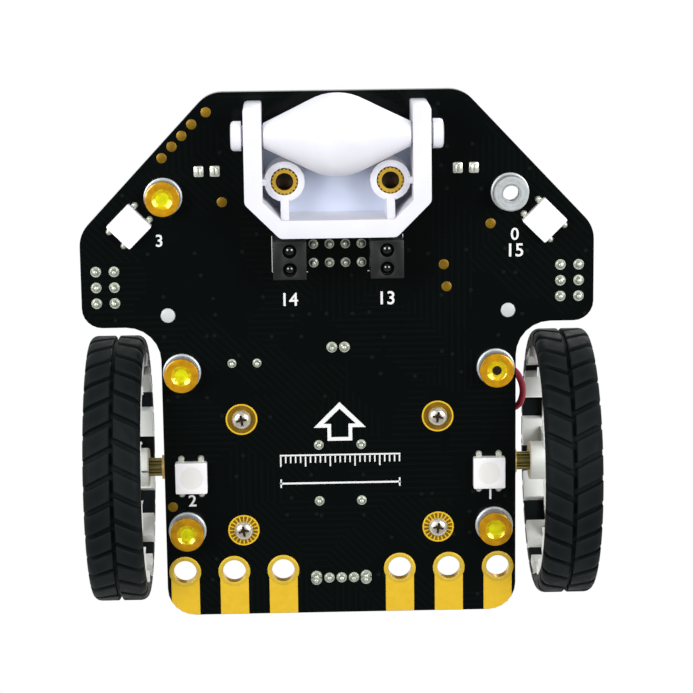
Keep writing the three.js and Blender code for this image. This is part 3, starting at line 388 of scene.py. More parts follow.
def slab(bm, x, y, half_x, half_y, low, high, edge=0.0):
    """A box about (x, y), from low to high."""
    return block(bm, (x - half_x, y - half_y, low), (x + half_x, y + half_y, high), edge)


def gather(bm, part, place=Matrix()):
    """Copies one mesh into another."""
    copies = {v: bm.verts.new(place @ v.co) for v in part.verts}
    for face in part.faces:
        bm.faces.new([copies[v] for v in face.verts])
    part.free()
    return bm


def soften(bm, width, angle=30):
    """Rounds every edge sharper than angle."""
    bmesh.ops.remove_doubles(bm, verts=bm.verts, dist=0.002)
    bmesh.ops.dissolve_limit(bm, angle_limit=math.radians(1), verts=bm.verts, edges=bm.edges)
    sharp = [e for e in bm.edges if len(e.link_faces) == 2 and e.calc_face_angle(0) > math.radians(angle)]
    bmesh.ops.bevel(bm, geom=sharp, offset=width, segments=2, profile=0.6, affect="EDGES",
                    clamp_overlap=True)
    return bm


def holder(bm):
    """A passing object used only while shapes are being combined."""
    bmesh.ops.recalc_face_normals(bm, faces=bm.faces)
    mesh = bpy.data.meshes.new("passing")
    bm.to_mesh(mesh)
    bm.free()
    thing = bpy.data.objects.new("passing", mesh)
    scene.collection.objects.link(thing)
    return thing


def combined(base, others, operation="UNION"):
    """The union or the difference of closed shapes."""
    body = holder(base)
    tools = [holder(other) for other in others]
    for tool in tools:
        step = body.modifiers.new("step", "BOOLEAN")
        step.operation = operation
        step.solver = "EXACT"
        step.object = tool
    shown = body.evaluated_get(bpy.context.evaluated_depsgraph_get())
    result = bmesh.new()
    result.from_mesh(shown.to_mesh())
    shown.to_mesh_clear()
    for thing in (body, *tools):
        mesh = thing.data
        bpy.data.objects.remove(thing)
        bpy.data.meshes.remove(mesh)
    return result


def piece(name, bm, look, body="chassis", replaces=(), smooth=35):
    """Turns a shape into a finished piece that rides on a body."""
    bmesh.ops.recalc_face_normals(bm, faces=bm.faces)
    bmesh.ops.scale(bm, vec=(MM, MM, MM), verts=bm.verts)
    mesh = bpy.data.meshes.new(name)
    bm.to_mesh(mesh)
    bm.free()
    mesh.shade_smooth()
    mesh.set_sharp_from_angle(angle=math.radians(smooth))
    thing = bpy.data.objects.new(name, mesh)
    scene.collection.objects.link(thing)
    mesh.materials.append(look.material)
    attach(thing, body)
    if replaces:
        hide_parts(*replaces)
    return thing


def softened(node, look, width=0.2, body="chassis", angle=30):
    """A copy of a CAD node with rounded edges."""
    bm = bmesh.new()
    bm.from_mesh(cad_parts[node].data)
    bmesh.ops.scale(bm, vec=(1 / MM, 1 / MM, 1 / MM), verts=bm.verts)
    return piece(f"{node}_finished", soften(bm, width, angle), look, body, (node,))


def finish_node(node, look):
    """Gives a CAD node its material."""
    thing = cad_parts[node]
    for place in thing.material_slots:
        place.material = look.material


# ---------------- battery leads

LEAD_RADIUS = 0.55
LEAD_ROUTES = {
    "red": (
        (0.92, -1.85, 22.25), (0.92, -1.85, 23.6), (1.05, -1.85, 25.1), (2.3, -1.75, 26.4),
        (4.5, -1.3, 25.7), (6.6, -0.6, 23.2), (8.6, 0.2, 20.3), (11.2, 0.9, 18), (14.5, 1.4, 17.2),
        (18.5, 1.6, 17.2), (22.2, 1.7, 17.2), (25.8, 2, 17.6), (28.6, 3.4, 18.6), (30.05, 6.7, 20.2),
        (29.5, 9.8, 21.9), (27.4, 11, 24), (24.7, 11.3, 25.8), (23.6, 11.2, 27.6), (23.6, 11.2, 28.7),
    ),
    "black": (
        (-1.1, -1.85, 22.25), (-1.1, -1.85, 23.6), (-0.95, -1.65, 25.1), (0.3, -0.6, 26.4),
        (2.7, 0.4, 25.7), (4.9, 1.2, 23.2), (7.1, 2, 20.2), (10, 2.7, 18), (13.8, 3, 17.2),
        (18, 3.2, 17.3), (21.2, 3.9, 18), (23.3, 5.6, 19.6), (23.8, 8, 21.8), (22.9, 10.1, 24.2),
        (21.9, 11.2, 26), (21.8, 11.2, 27.6), (21.8, 11.2, 28.7),
    ),
}


def smooth_handles(points):
    """Each stretch's two handles, for a centripetal curve through the points."""
    route = [2 * points[0] - points[1], *points, 2 * points[-1] - points[-2]]
    gaps = [math.sqrt((b - a).length) for a, b in zip(route, route[1:])]
    handles = []
    for i in range(1, len(route) - 2):
        before, here, there, after = route[i - 1:i + 3]
        d0, d1, d2 = gaps[i - 1:i + 2]
        leave = ((here - before) / d0 - (there - before) / (d0 + d1) + (there - here) / d1) * d1
        arrive = ((there - here) / d1 - (after - here) / (d1 + d2) + (after - there) / d2) * d1
        handles.append((here + leave / 3, there - arrive / 3))
    return handles


def battery_lead(colour, look):
    points = [Vector(p) * MM for p in LEAD_ROUTES[colour]]
    handles = smooth_handles(points)
    curve = bpy.data.curves.new(f"{colour}_lead", "CURVE")
    curve.dimensions = "3D"
    curve.bevel_depth = LEAD_RADIUS * MM
    curve.bevel_resolution = 4
    curve.resolution_u = 8
    curve.use_fill_caps = True
    spline = curve.splines.new("BEZIER")
    spline.bezier_points.add(len(points) - 1)
    for i, (point, knot) in enumerate(zip(points, spline.bezier_points)):
        knot.co = point
        knot.handle_left = handles[i - 1][1] if i else 2 * point - handles[0][0]
        knot.handle_right = handles[i][0] if i < len(handles) else 2 * point - handles[-1][1]
    lead = bpy.data.objects.new(f"{colour}_lead", curve)
    scene.collection.objects.link(lead)
    curve.materials.append(look.material)
    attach(lead, "chassis")
    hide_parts(f"{colour}_battery_lead")


battery_lead("red", RED)
battery_lead("black", BLACK_WIRE)

# ---------------- circuit board and what is printed on it

BOARD_LOW, BOARD_HIGH = low_high("main_board")
UNDER = BOARD_LOW.z
TOP = BOARD_HIGH.z
REAR_Y = BOARD_HIGH.y
COPPER = 0.04
FACE = UNDER - COPPER
LINK_HOLES = [9.5, 17.5, 25.5]
LINK_HOLE_Y = 35.2
LINK_HOLE_RADIUS = 1.95
TAIL_CORNER = (23.9, 38.0, 4.45)
PAD_RADIUS = 2.58
STRIP_HALF_WIDTH = 2.3
RING_HEIGHT = 0.05
RING = ((1.9, 0.02), (1.97, 0), (2.42, 0), (2.48, 0.02), (2.48, RING_HEIGHT), (1.9, RING_HEIGHT))


def link_pad(x, s):
    """A gold ring about a link hole, with a strip from it to the rear edge."""
    cx, cy, radius = TAIL_CORNER
    neck = math.acos(STRIP_HALF_WIDTH / PAD_RADIUS)
    points = []
    for k in range(33):
        angle = -neck + (math.pi + 2 * neck) * k / 32
        points.append((x - PAD_RADIUS * math.cos(angle), LINK_HOLE_Y - PAD_RADIUS * math.sin(angle)))
    for k in range(13):
        px = x + STRIP_HALF_WIDTH * (1 - 2 * k / 12)
        py = REAR_Y - 0.05
        if px > cx:
            py = cy + math.sqrt(max(radius ** 2 - (px - cx) ** 2, 0))
        points.append((px, py))
    return [(s * px, py) for px, py in points]


def board_gold():
    """The link holes' pads, their raised rings and their plated walls."""
    pads, rings, walls = bmesh.new(), bmesh.new(), bmesh.new()
    inner, outer = LINK_HOLE_RADIUS - 0.09, LINK_HOLE_RADIUS + 0.02
    wall = [(inner, UNDER), (outer, UNDER), (outer, TOP), (inner, TOP)]
    for _, s in SIDES:
        for x in LINK_HOLES:
            place = at(s * x, LINK_HOLE_Y, 0)
            hole = circle(LINK_HOLE_RADIUS, 40, s * x, LINK_HOLE_Y)
            for low in (FACE, TOP):
                prism(pads, link_pad(x, s), low, low + COPPER, holes=(hole,))
            for low in (FACE - RING_HEIGHT, TOP + COPPER):
                lathe(rings, [(r, low + z) for r, z in RING], 48, place, closed=True)
            lathe(walls, wall, 40, place, closed=True)
    piece("link_hole_pads", pads, GOLD)
    piece("link_hole_rings", rings, RING_GOLD)
    piece("link_hole_walls", walls, BRASS)


BRACKET_SCREWS = [(f"{side}_{end}", s * 15.8, 19.05 + e * 9.25)
                  for side, s in SIDES for end, e in (("front", -1), ("rear", 1))]
TAIL_GROOVES = 20


def screw_pads():
    """A gold pad about each bracket screw, grooved all round at the rear pair."""
    pads, rims = bmesh.new(), bmesh.new()
    pad = [(1.1, FACE), (2.55, FACE), (2.55, UNDER), (1.1, UNDER)]
    rim = [(r, FACE - z) for r, z in ((2.3, 0), (2.34, 0.04), (2.5, 0.04), (2.55, 0))]
    for name, x, y in BRACKET_SCREWS:
        lathe(pads, pad, 40, at(x, y, 0), closed=True)
        lathe(rims, rim, 40, at(x, y, 0), closed=True)
        if name.endswith("rear"):
            for k in range(TAIL_GROOVES):
                turn = Matrix.Rotation(2 * math.pi * k / TAIL_GROOVES, 4, "Z")
                block(rims, (1.6, -0.1, FACE - 0.03), (2.35, 0.1, FACE), 0, at(x, y, 0, turn))
    piece("bracket_screw_pads", pads, DULL_GOLD)
    piece("bracket_pad_rims", rims, GOLD)


TEST_DOTS = [(-20.36, -39.76), (-22.66, -37.89), (-24.26, -36.11), (-25.86, -34.43), (-27.47, -32.64),
             (-18.15, -25.52), (24.34, -21.45), (16.89, -14.99), (17.32, -11.42), (-27.2, 24.19)]


def test_dots():
    bm = bmesh.new()
    for x, y in TEST_DOTS:
        lathe(bm, [(0, FACE), (0.74, FACE), (0.8, UNDER - COPPER / 2), (0.8, UNDER), (0, UNDER)], 24,
              at(x, y, 0))
    piece("test_points", bm, DULL_GOLD)


SIGNAL_JOINTS = [(s * x, y, 0.6) for s in (1, -1) for x in (1.27, 3.81) for y in (-18.6, -15.6)]
LAMP_JOINTS = [(s * x, -30.45) for s in (1, -1) for x in (19.15, 21.7)]
PORT_X = (35.5, 38.4)
PORT_Y = (-14.65, -12.1, -9.55)
PORT_JOINTS = [(s * x, y, 0.68) for s in (1, -1) for x in PORT_X for y in PORT_Y]
POWER_JOINTS = [(-17.13, 0.55, 0.55), (-13.12, 0.55, 0.55), (-1.1, -1.84, 0.7), (0.92, -1.83, 0.7)]
MOTOR_JOINTS = [(s * 3.42, y, 0.62) for s in (1, -1) for y in (14.25, 23.6)]
SWITCH_JOINTS = [(x, 36.6, 0.68) for x in (-2, 0, 2)]
SWITCH_JOINTS += [(x, y, 0.72) for x in (-4.1, 4) for y in (36.3, 36.9)]
JOINTS = SIGNAL_JOINTS + PORT_JOINTS + POWER_JOINTS + MOTOR_JOINTS + SWITCH_JOINTS


def solder_joints():
    """A cone of solder about each lead, with the lead's cut end standing out of it."""
    solder, rings = bmesh.new(), bmesh.new()
    shaking = random.Random(7)
    for x, y, radius in JOINTS:
        height = shaking.uniform(0.75, 1.1)
        lean = at(x, y, UNDER, Matrix.Rotation(math.radians(shaking.uniform(-5, 5)), 4, "X")
                  @ Matrix.Rotation(math.radians(shaking.uniform(-5, 5)), 4, "Y"))
        pin = 0.34
        cone = [(0, 0.1), (radius, 0.05), (radius, -0.04), (radius * 0.8, -0.22)]
        lead = [(pin + 0.16, -height * 0.5), (pin, -height * 0.78), (pin, -height),
                (pin * 0.7, -height - 0.06), (0, -height - 0.07)]
        lathe(solder, cone + lead, 20, lean)
        land = [(radius, FACE), (radius + 0.16, FACE), (radius + 0.16, UNDER), (radius, UNDER)]
        lathe(rings, land, 24, at(x, y, 0), closed=True)
    piece("solder_joints", solder, SOLDER, smooth=60)
    piece("solder_lands", rings, SOLDER)


def lamp_joints():
    """Square solder blobs on the headlights' flat leads."""
    bm = bmesh.new()
    for x, y in LAMP_JOINTS:
        slab(bm, x, y, 0.78, 0.85, UNDER - 0.3, UNDER + 0.1, 0.22)
        for dx in (-0.32, 0.32):
            slab(bm, x + dx, y, 0.2, 0.55, UNDER - 0.75, UNDER - 0.1, 0.14)
    piece("headlight_joints", bm, BRIGHT_SOLDER)


def legend():
    """White marks: outlines about the parts and a plain centre mark; the numbers beside them are made by
    numbers().
    """
    bm = bmesh.new()
    thick = 0.02

    def bar(x0, x1, y0, y1):
        block(bm, (min(x0, x1), min(y0, y1), UNDER - thick), (max(x0, x1), max(y0, y1), UNDER))

    for _, s in SIDES:
        x, edge = s * 7.6, 0.12
        outer, inner, front, rear = x + s * 2.85, x - s * 2.85, -20.5, -14.1
        bar(outer, outer - s * edge, front + 0.5, rear)
        bar(outer - s * 0.5, inner, front, front + edge)
        bar(outer, inner, rear - edge, rear)
    for k in range(25):
        x = -9.6 + 0.8 * k
        bar(x - 0.11, x + 0.11, 16.1, 17.8 if k % 5 == 0 else 17.2)
    bar(-9.75, 9.75, 15.8, 16.05)
    bar(-9.75, 9.75, 20.45, 20.75)
    for x in (-9.6, 9.6):
        bar(x - 0.12, x + 0.12, 19.9, 21.3)
    arrow = [(0, 7.2), (4.2, 11.4), (2.0, 11.4), (2.0, 13.6), (-2.0, 13.6), (-2.0, 11.4), (-4.2, 11.4)]
    core = [(0, 8.3), (2.6, 10.8), (1.4, 10.8), (1.4, 13.0), (-1.4, 13.0), (-1.4, 10.8), (-2.6, 10.8)]
    prism(bm, arrow, UNDER - thick, UNDER, holes=(core,))
    piece("board_legend", bm, LEGEND)


NUMBERS = (("3", -28.2, -19.4, 2.0), ("0", 28.2, -19.6, 2.0), ("15", 28.2, -17.0, 2.2),
           ("2", -24.0, 23.3, 2.0), ("1", 24.3, 23.0, 1.9), ("14", -7.8, -9.6, 2.2),
           ("13", 7.7, -9.6, 2.2))


def numbers():
    """Plain digits, readable from below the board."""
    for k, (text, x, y, size) in enumerate(NUMBERS):
        font = bpy.data.curves.new("digits", "FONT")
        font.body = text
        font.size = size * 1.35 * MM
        font.align_x = "CENTER"
        font.align_y = "CENTER"
        font.extrude = 0.01 * MM
        font.offset = 0.035 * MM
        writing = bpy.data.objects.new("digits", font)
        scene.collection.objects.link(writing)
        writing.matrix_world = at(x * MM, y * MM, (UNDER - 0.011) * MM, Matrix.Rotation(math.pi, 4, "X"))
        bpy.context.view_layer.update()
        shown = writing.evaluated_get(bpy.context.evaluated_depsgraph_get())
        bm = bmesh.new()
        bm.from_mesh(shown.to_mesh())
        bmesh.ops.transform(bm, matrix=writing.matrix_world, verts=bm.verts)
        bmesh.ops.scale(bm, vec=(1 / MM, 1 / MM, 1 / MM), verts=bm.verts)
        bmesh.ops.remove_doubles(bm, verts=bm.verts, dist=0.001)
        shown.to_mesh_clear()
        bpy.data.objects.remove(writing)
        piece(f"board_number_{k + 1}", bm, LEGEND)


finish_node("main_board", MASK)
board_gold()
screw_pads()
test_dots()
solder_joints()
lamp_joints()
legend()
numbers()

# ---------------- spacers and bracket screws

SPACERS = [(f"{place}_{side}", s * x, y) for side, s in SIDES
           for place, x, y in (("front", 27.4, -26.5), ("middle", 25.15, 1.85), ("rear", 24.9, 28.1))]
BARE_SPACER = "front_left"
SHADED_FILM_SPACER = "middle_left"
SPACER_LOW = low_high("threaded_spacer_front_left")[0].z


def spacer(name, x, y):
    low, top = SPACER_LOW, UNDER - 0.05
    profile = [(1.3, low + 0.35), (1.62, low), (2.0, low), (2.06, low + 0.07), (2.2, low + 0.07),
               (2.26, low), (2.55, low), (2.75, low + 0.2), (2.75, top - 0.5), (2.85, top - 0.4),
               (3.0, top - 0.36), (3.05, top - 0.3), (3.05, top), (1.3, top)]
    thread = []
    turns = 5
    for k in range(turns):
        z = top - (top - low - 0.6) * k / turns
        thread += [(1.42, z - 0.12), (1.3, z - 0.3)]
    bm = bmesh.new()
    lathe(bm, profile + thread, 48, at(x, y, 0), closed=True)
    piece(f"spacer_{name}", bm, NICKEL, replaces=(f"threaded_spacer_{name}",))
    if name != BARE_SPACER:
        spacer_film(name, x, y)


def spacer_film(name, x, y):
    """A round amber film stuck over the spacer's mouth, pressed a little into it, with a painted highlight
    on its slope and at its centre; on the middle left spacer the centre is painted shade of the bore
    instead.
    """
    low = SPACER_LOW
    outer = bmesh.new()
    lathe(outer, [(1.62, low - 0.02), (1.95, low - 0.09), (2.5, low - 0.09), (2.72, low - 0.02),
                  (2.78, low + 0.12), (2.77, low + 0.4), (2.76, low + 0.12), (2.7, low), (2.5, low - 0.03),
                  (1.95, low - 0.03), (1.62, low + 0.02)], 48, at(x, y, 0), closed=True)
    piece(f"spacer_film_{name}", outer, FILM)
    reach = 0.75 if name == SHADED_FILM_SPACER else 1.05
    # painted highlight: the slope is a lighter copy of the film
    slope = lathe(bmesh.new(), [(reach - 0.04, low + 0.21), (1.35, low + 0.11), (1.66, low - 0.03),
                                (1.66, low + 0.02), (1.35, low + 0.16), (reach - 0.04, low + 0.26)], 48,
                  at(x, y, 0), closed=True)
    piece(f"spacer_film_slope_{name}", slope, FILM_SLOPE_HIGHLIGHT)
    # painted highlight at the centre, and painted shade of the bore at the middle left spacer's centre
    centre = lathe(bmesh.new(), [(0, low + 0.24), (reach - 0.2, low + 0.24), (reach, low + 0.19),
                                 (reach, low + 0.24), (reach - 0.2, low + 0.29), (0, low + 0.29)], 40,
                   at(x, y, 0))
    piece(f"spacer_film_centre_{name}", centre, BORE_SHADE_FILM if name == SHADED_FILM_SPACER else FILM_CENTRE_HIGHLIGHT)


def cross(length, width):
    """A cross-shaped outline."""
    a, b = length / 2, width / 2
    half = [(a, b), (b, b), (b, a), (-b, a), (-b, b), (-a, b)]
    return half + [(-x, -y) for x, y in half]


def bracket_screw(name, x, y):
    seat = UNDER - 0.05
    tip = low_high(f"{name}_bracket_screw")[1].z
    turned = at(x, y, 0, Matrix.Rotation(math.radians(12 * x), 4, "Z"))
    bm = bmesh.new()
    lathe(bm, [(0, seat - 1.05), (0.7, seat - 1.02), (1.1, seat - 0.9), (1.4, seat - 0.68),
               (1.54, seat - 0.35), (1.55, seat), (0.76, seat), (0.76, tip - 0.3), (0.6, tip), (0, tip)],
          40, at(x, y, 0))
    tool = prism(bmesh.new(), cross(1.75, 0.42), seat - 2, seat - 0.45, turned)
    socket = bmesh.new()
    lathe(socket, [(0, seat - 2), (0.75, seat - 1.3), (0.3, seat - 0.5), (0, seat - 0.3)], 12, at(x, y, 0))
    head = combined(combined(bm, [tool], "DIFFERENCE"), [socket], "DIFFERENCE")
    piece(f"{name}_screw", head, SCREW, replaces=(f"{name}_bracket_screw",))
    # painted shade: a dark cross-shaped sheet at the bottom of the recess
    recess_shade_sheet = prism(bmesh.new(), cross(1.7, 0.4), seat - 0.5, seat - 0.43, turned)
    piece(f"{name}_screw_recess_shade", recess_shade_sheet, DARK_BORE)
    finish_node(f"{name}_bracket_nut", NICKEL)


for name, x, y in SPACERS:
    spacer(name, x, y)
for name, x, y in BRACKET_SCREWS:
    bracket_screw(name, x, y)

# ---------------- wheels

WHEEL_LOW, WHEEL_HIGH = low_high("left_tyre")
AXLE = ((WHEEL_LOW.y + WHEEL_HIGH.y) / 2, (WHEEL_LOW.z + WHEEL_HIGH.z) / 2)
TYRE_RADIUS = (WHEEL_HIGH.z - WHEEL_LOW.z) / 2
BLOCKS = 32
GROOVE_DEPTH = 1.0
GROOVE_HALF_WIDTH = 0.5
CENTRE_HALF_GROOVE = 0.35
TREAD_SLOPE = math.tan(math.radians(27))
SHOULDER = 1.3


def tyre_reach(side):
    """How far a tyre's inner and outer faces are from the robot's middle."""
    low, high = low_high(f"{side}_tyre")
    return sorted((abs(low.x), abs(high.x)))


def tread_radius(x, reach):
    """The tyre's outer radius at a distance from the robot's middle."""
    inset = max(reach[0] + SHOULDER - x, x - reach[1] + SHOULDER, 0)
    return TYRE_RADIUS - SHOULDER + SHOULDER * math.sqrt(max(1 - (inset / SHOULDER) ** 2, 0.07))


def on_wheel(s, x, angle, radius):
    """A point of a wheel: angle 0 is the bottom, and it grows towards the rear."""
    return Vector((s * x, AXLE[0] + radius * math.sin(angle), AXLE[1] - radius * math.cos(angle)))


def tread_block(bm, s, xs, start, reach, columns=6):
    """One raised block of tread, between two slanted grooves."""
    pitch = 2 * math.pi / BLOCKS
    width = pitch - 2 * GROOVE_HALF_WIDTH / TYRE_RADIUS
    chamfer = 0.14 / TYRE_RADIUS
    flat = width - 2 * chamfer
    across = [0, chamfer, *(chamfer + flat * k / (columns - 3) for k in range(1, columns - 3)),
              width - chamfer, width]
    grids = []
    for lift in (0, 1):
        rows = []
        for i, x in enumerate(xs):
            shift = -s * TREAD_SLOPE * abs(x - sum(reach) / 2) / TYRE_RADIUS
            row = []
            for j, step in enumerate(across):
                rim = i in (0, len(xs) - 1) or j in (0, len(across) - 1)
                drop = (0.13 if rim else 0) if lift else GROOVE_DEPTH + 0.15
                radius = tread_radius(x, reach) - drop
                row.append(bm.verts.new(on_wheel(s, x, start + shift + step, radius)))
            rows.append(row)
        grids.append(rows)
    low, high = grids
    last_i, last_j = len(xs) - 1, len(across) - 1
    for i in range(last_i):
        for j in range(last_j):
            for grid in grids:
                bm.faces.new((grid[i][j], grid[i + 1][j], grid[i + 1][j + 1], grid[i][j + 1]))
    for i in range(last_i):
        for j in (0, last_j):
            bm.faces.new((low[i][j], low[i + 1][j], high[i + 1][j], high[i][j]))
    for j in range(last_j):
        for i in (0, last_i):
            bm.faces.new((low[i][j], low[i][j + 1], high[i][j + 1], high[i][j]))


TREAD_START = {"left": (0.38, 0.10), "right": (0.78, 0.11)}


def tyre(side, s):
    bm = bmesh.new()
    inner, outer = reach = tyre_reach(side)
    wall = ((18.9, 0.2), (19.1, 0.04), (19.6, 0), (20.0, 0.12), (20.4, 0.45),
            (TYRE_RADIUS - GROOVE_DEPTH, 1.2))
    profile = [(r, inner + inset) for r, inset in wall]
    profile += [(r, outer - inset) for r, inset in reversed(wall)]
    lathe(bm, [(r, s * x) for r, x in profile], 4 * BLOCKS, at(0, *AXLE, ALONG_X), closed=True)
    pitch = 2 * math.pi / BLOCKS
    centre = (inner + outer) / 2
    steps = (CENTRE_HALF_GROOVE, CENTRE_HALF_GROOVE + 0.15, 2.0, 3.2, 3.7, 4.1, 4.35, 4.48)
    inner_xs = [centre - step for step in steps]
    outer_xs = [centre + step for step in steps]
    for column, xs in enumerate((inner_xs, outer_xs)):
        for k in range(BLOCKS):
            tread_block(bm, s, xs, (k + TREAD_START[side][column]) * pitch, reach)
    piece(f"{side}_tread", bm, RUBBER, f"{side}_wheel", (f"{side}_tyre",), smooth=40)


RIM = (17.3, 18.85)
HUB_OUTER_X = 40.1
LUG_DEPTH = 3.3
LUGS = 12
LUG_FROM_TOP = {"left": -1.8, "right": -11.0}
LUG_HALF_ANGLE = 7.8
SPOKES = 6
SPOKE_X = (34.9, 37.3)
BOSS_RADIUS = 3.15
BOSS_X = (31.2, 38.4)
SHAFT_END_X = 37.8


def arc_block(bm, s, x0, x1, r0, r1, middle, half, steps=6):
    """A block bent about the axle."""
    section = ((x0, r0), (x1, r0), (x1, r1), (x0, r1))
    corners = []
    for k in range(steps + 1):
        angle = middle + half * (2 * k / steps - 1)
        corners.append([bm.verts.new(on_wheel(s, x, angle, r)) for x, r in section])
    for a, b in zip(corners, corners[1:]):
        for i in range(4):
            bm.faces.new((a[i], a[(i + 1) % 4], b[(i + 1) % 4], b[i]))
    bm.faces.new(corners[0])
    bm.faces.new(corners[-1])
    return bm


SLIT_FACING = {"left": 1, "right": -1}
SPOKE_HALF = ((1.9, 2.4), (1.35, 8), (1.25, 14), (1.6, 17.5))


def hub(side, s):
    body = f"{side}_wheel"
    inner, outer = tyre_reach(side)[0], HUB_OUTER_X
    place = at(0, *AXLE, ALONG_X)
    rim = lathe(bmesh.new(), [(r, s * x) for r, x in (
        (RIM[0], inner + LUG_DEPTH), (RIM[1], inner + LUG_DEPTH), (RIM[1], outer - 0.3),
        (RIM[1] - 0.3, outer), (RIM[0] + 0.3, outer), (RIM[0], outer - 0.3))], 96, place, closed=True)
    boss = lathe(bmesh.new(), [(r, s * x) for r, x in (
        (1.55, BOSS_X[0] + 0.1), (BOSS_RADIUS - 0.2, BOSS_X[0]), (BOSS_RADIUS, BOSS_X[0] + 0.2),
        (BOSS_RADIUS, BOSS_X[1] - 0.3), (BOSS_RADIUS - 0.3, BOSS_X[1]), (1.2, BOSS_X[1]),
        (1.2, SHAFT_END_X + 0.2), (1.55, SHAFT_END_X + 0.15))], 48, place, closed=True)
    outline = [(-w, r) for w, r in SPOKE_HALF] + [(w, r) for w, r in reversed(SPOKE_HALF)]
    spokes = []
    for k in range(SPOKES):
        angle = 2 * math.pi * k / SPOKES
        turn = Matrix.Rotation(s * angle, 4, "X") @ FLAT_IN_YZ
        low, high = sorted((s * x for x in SPOKE_X))
        spokes.append(prism(bmesh.new(), outline, low, high, at(0, *AXLE, turn)))
    near, far = sorted((s * 29, s * (BOSS_X[0] + 3.5)))
    slit_low, slit_high = sorted((AXLE[1], AXLE[1] + 4 * SLIT_FACING[side]))
    slit = block(bmesh.new(), (near, AXLE[0] - 0.2, slit_low), (far, AXLE[0] + 0.2, slit_high))
    whole = combined(combined(rim, [boss, *spokes]), [slit], "DIFFERENCE")
    # painted shade: the disc is a darker copy of the lugs' white plastic
    piece(f"{side}_hub_disc", soften(whole, 0.12, 40), HUB_WHITE_SHADED, body, (f"{side}_wheel_hub",), smooth=30)

    lugs = bmesh.new()
    half = math.radians(LUG_HALF_ANGLE)
    for k in range(LUGS):
        start = math.radians(180 - LUG_FROM_TOP[side] + 360 / LUGS * k)
        part = arc_block(bmesh.new(), s, inner, inner + LUG_DEPTH + 0.05, RIM[0], RIM[1], start, half)
        gather(lugs, soften(part, 0.18, 40))
    # painted light: the lugs are a lighter copy of the disc's white plastic
    piece(f"{side}_hub_lugs", lugs, LUG_WHITE_LIT, body)


SPLINES = 14
SPLINE = ((1.5, -0.22), (1.5, 0.22), (1.22, 0.34), (1.22, 0.66))
GEAR_X = (25.2, 26.7)
GEAR_TEETH = 28
GEAR_MODULE = 0.17


def shaft(side, s):
    """The output shaft: its gear, a plain stretch in the bush, and splines to the wheel."""
    bm = bmesh.new()
    place = at(0, *AXLE, FLAT_IN_YZ)
    prism(bm, toothed(SPLINES, SPLINE), *sorted((s * 29.0, s * (SHAFT_END_X - 0.1))), place)
    plain = ((0.75, 25.0), (1.5, 25.0), (1.5, 29.1), (0, 29.1), (0, 28.2), (0.75, 28.1))
    lathe(bm, [(r, s * x) for r, x in plain], 32, at(0, *AXLE, ALONG_X), closed=True)
    tooth = [(GEAR_TEETH * GEAR_MODULE / 2 + part * GEAR_MODULE, share)
             for part, share in ((-0.95, -0.33), (0.7, -0.05), (0.7, 0.05), (-0.95, 0.33))]
    prism(bm, toothed(GEAR_TEETH, tooth), *sorted(s * x for x in GEAR_X), place,
          holes=(circle(0.74, 24),))
    piece(f"{side}_splined_shaft", bm, SHAFT, f"{side}_wheel", (f"{side}_output_shaft",), smooth=25)


for side, s in SIDES:
    tyre(side, s)
    hub(side, s)
    shaft(side, s)

# ---------------- gear motors

for side, s in SIDES:
    softened(f"{side}_motor_can", STEEL, 0.25)
    softened(f"{side}_gearbox_frame", GEAR_BRASS, 0.06)
    softened(f"{side}_motor_bracket", WHITE, 0.25)
    for gear in ("motor_pinion", "first_gear", "second_gear", "third_gear"):
        finish_node(f"{side}_{gear}", GEAR_BRASS)

# ---------------- front roller

ROLLER = (-36.95, 6.45)
CASTER_SCREWS = [(side, s * 8.2, -29.65) for side, s in SIDES]


def roller():
    half = [(0, 16.35), (1.75, 16.35), (2.1, 16.22), (2.3, 15.9), (2.3, 14.75), (1.6, 14.7),
            (1.6, 11.45), (1.95, 11.3), (2.55, 10.05), (3.2, 8.7), (3.85, 7.35), (4.5, 6), (5.2, 4.6),
            (5.8, 3.3), (6.15, 2.3), (6.36, 1.25)]
    profile = half + [(6.43, 0.45), (6.43, -0.45)] + [(r, -x) for r, x in reversed(half)]
    bm = lathe(bmesh.new(), profile, 96, at(0, *ROLLER, ALONG_X))
    piece("smooth_roller", bm, ROLLER_WHITE, "roller", ("caster_roller",), smooth=30)


KNURLS = 20
KNURL = ((2.05, -0.16), (2.05, 0.16), (1.86, 0.34), (1.86, 0.66))


def caster_insert(side, x, y):
    """A knurled brass insert, whose thread and a disc deep in its bore are painted dark as painted shade."""
    low, high = low_high(f"{side}_caster_insert")
    bm = prism(bmesh.new(), toothed(KNURLS, KNURL, x, y), low.z, high.z, holes=(circle(1.36, 40, x, y),))
    piece(f"{side}_knurled_insert", bm, BRASS, replaces=(f"{side}_caster_insert",), smooth=20)
    thread = []
    turns = 7
    for k in range(turns):
        z = low.z + 0.2 + 3.2 * k / turns
        thread += [(1.41, z), (1.3, z + 0.22)]
    # painted shade: the thread inside the bore is painted dark brown
    inside = lathe(bmesh.new(), thread + [(1.41, high.z)], 32, at(x, y, 0))
    piece(f"{side}_insert_thread", inside, DARK_BORE, smooth=60)
    # painted shade: a dark disc across the bore stands for the shade deep inside it
    bore_shade_disc = lathe(bmesh.new(), [(0, 9.9), (1.3, 10), (1.3, 10.3), (0, 10.3)], 24, at(x, y, 0))
    piece(f"{side}_insert_bore_shade", bore_shade_disc, DARK_BORE)
    caster_screw(side, x, y)


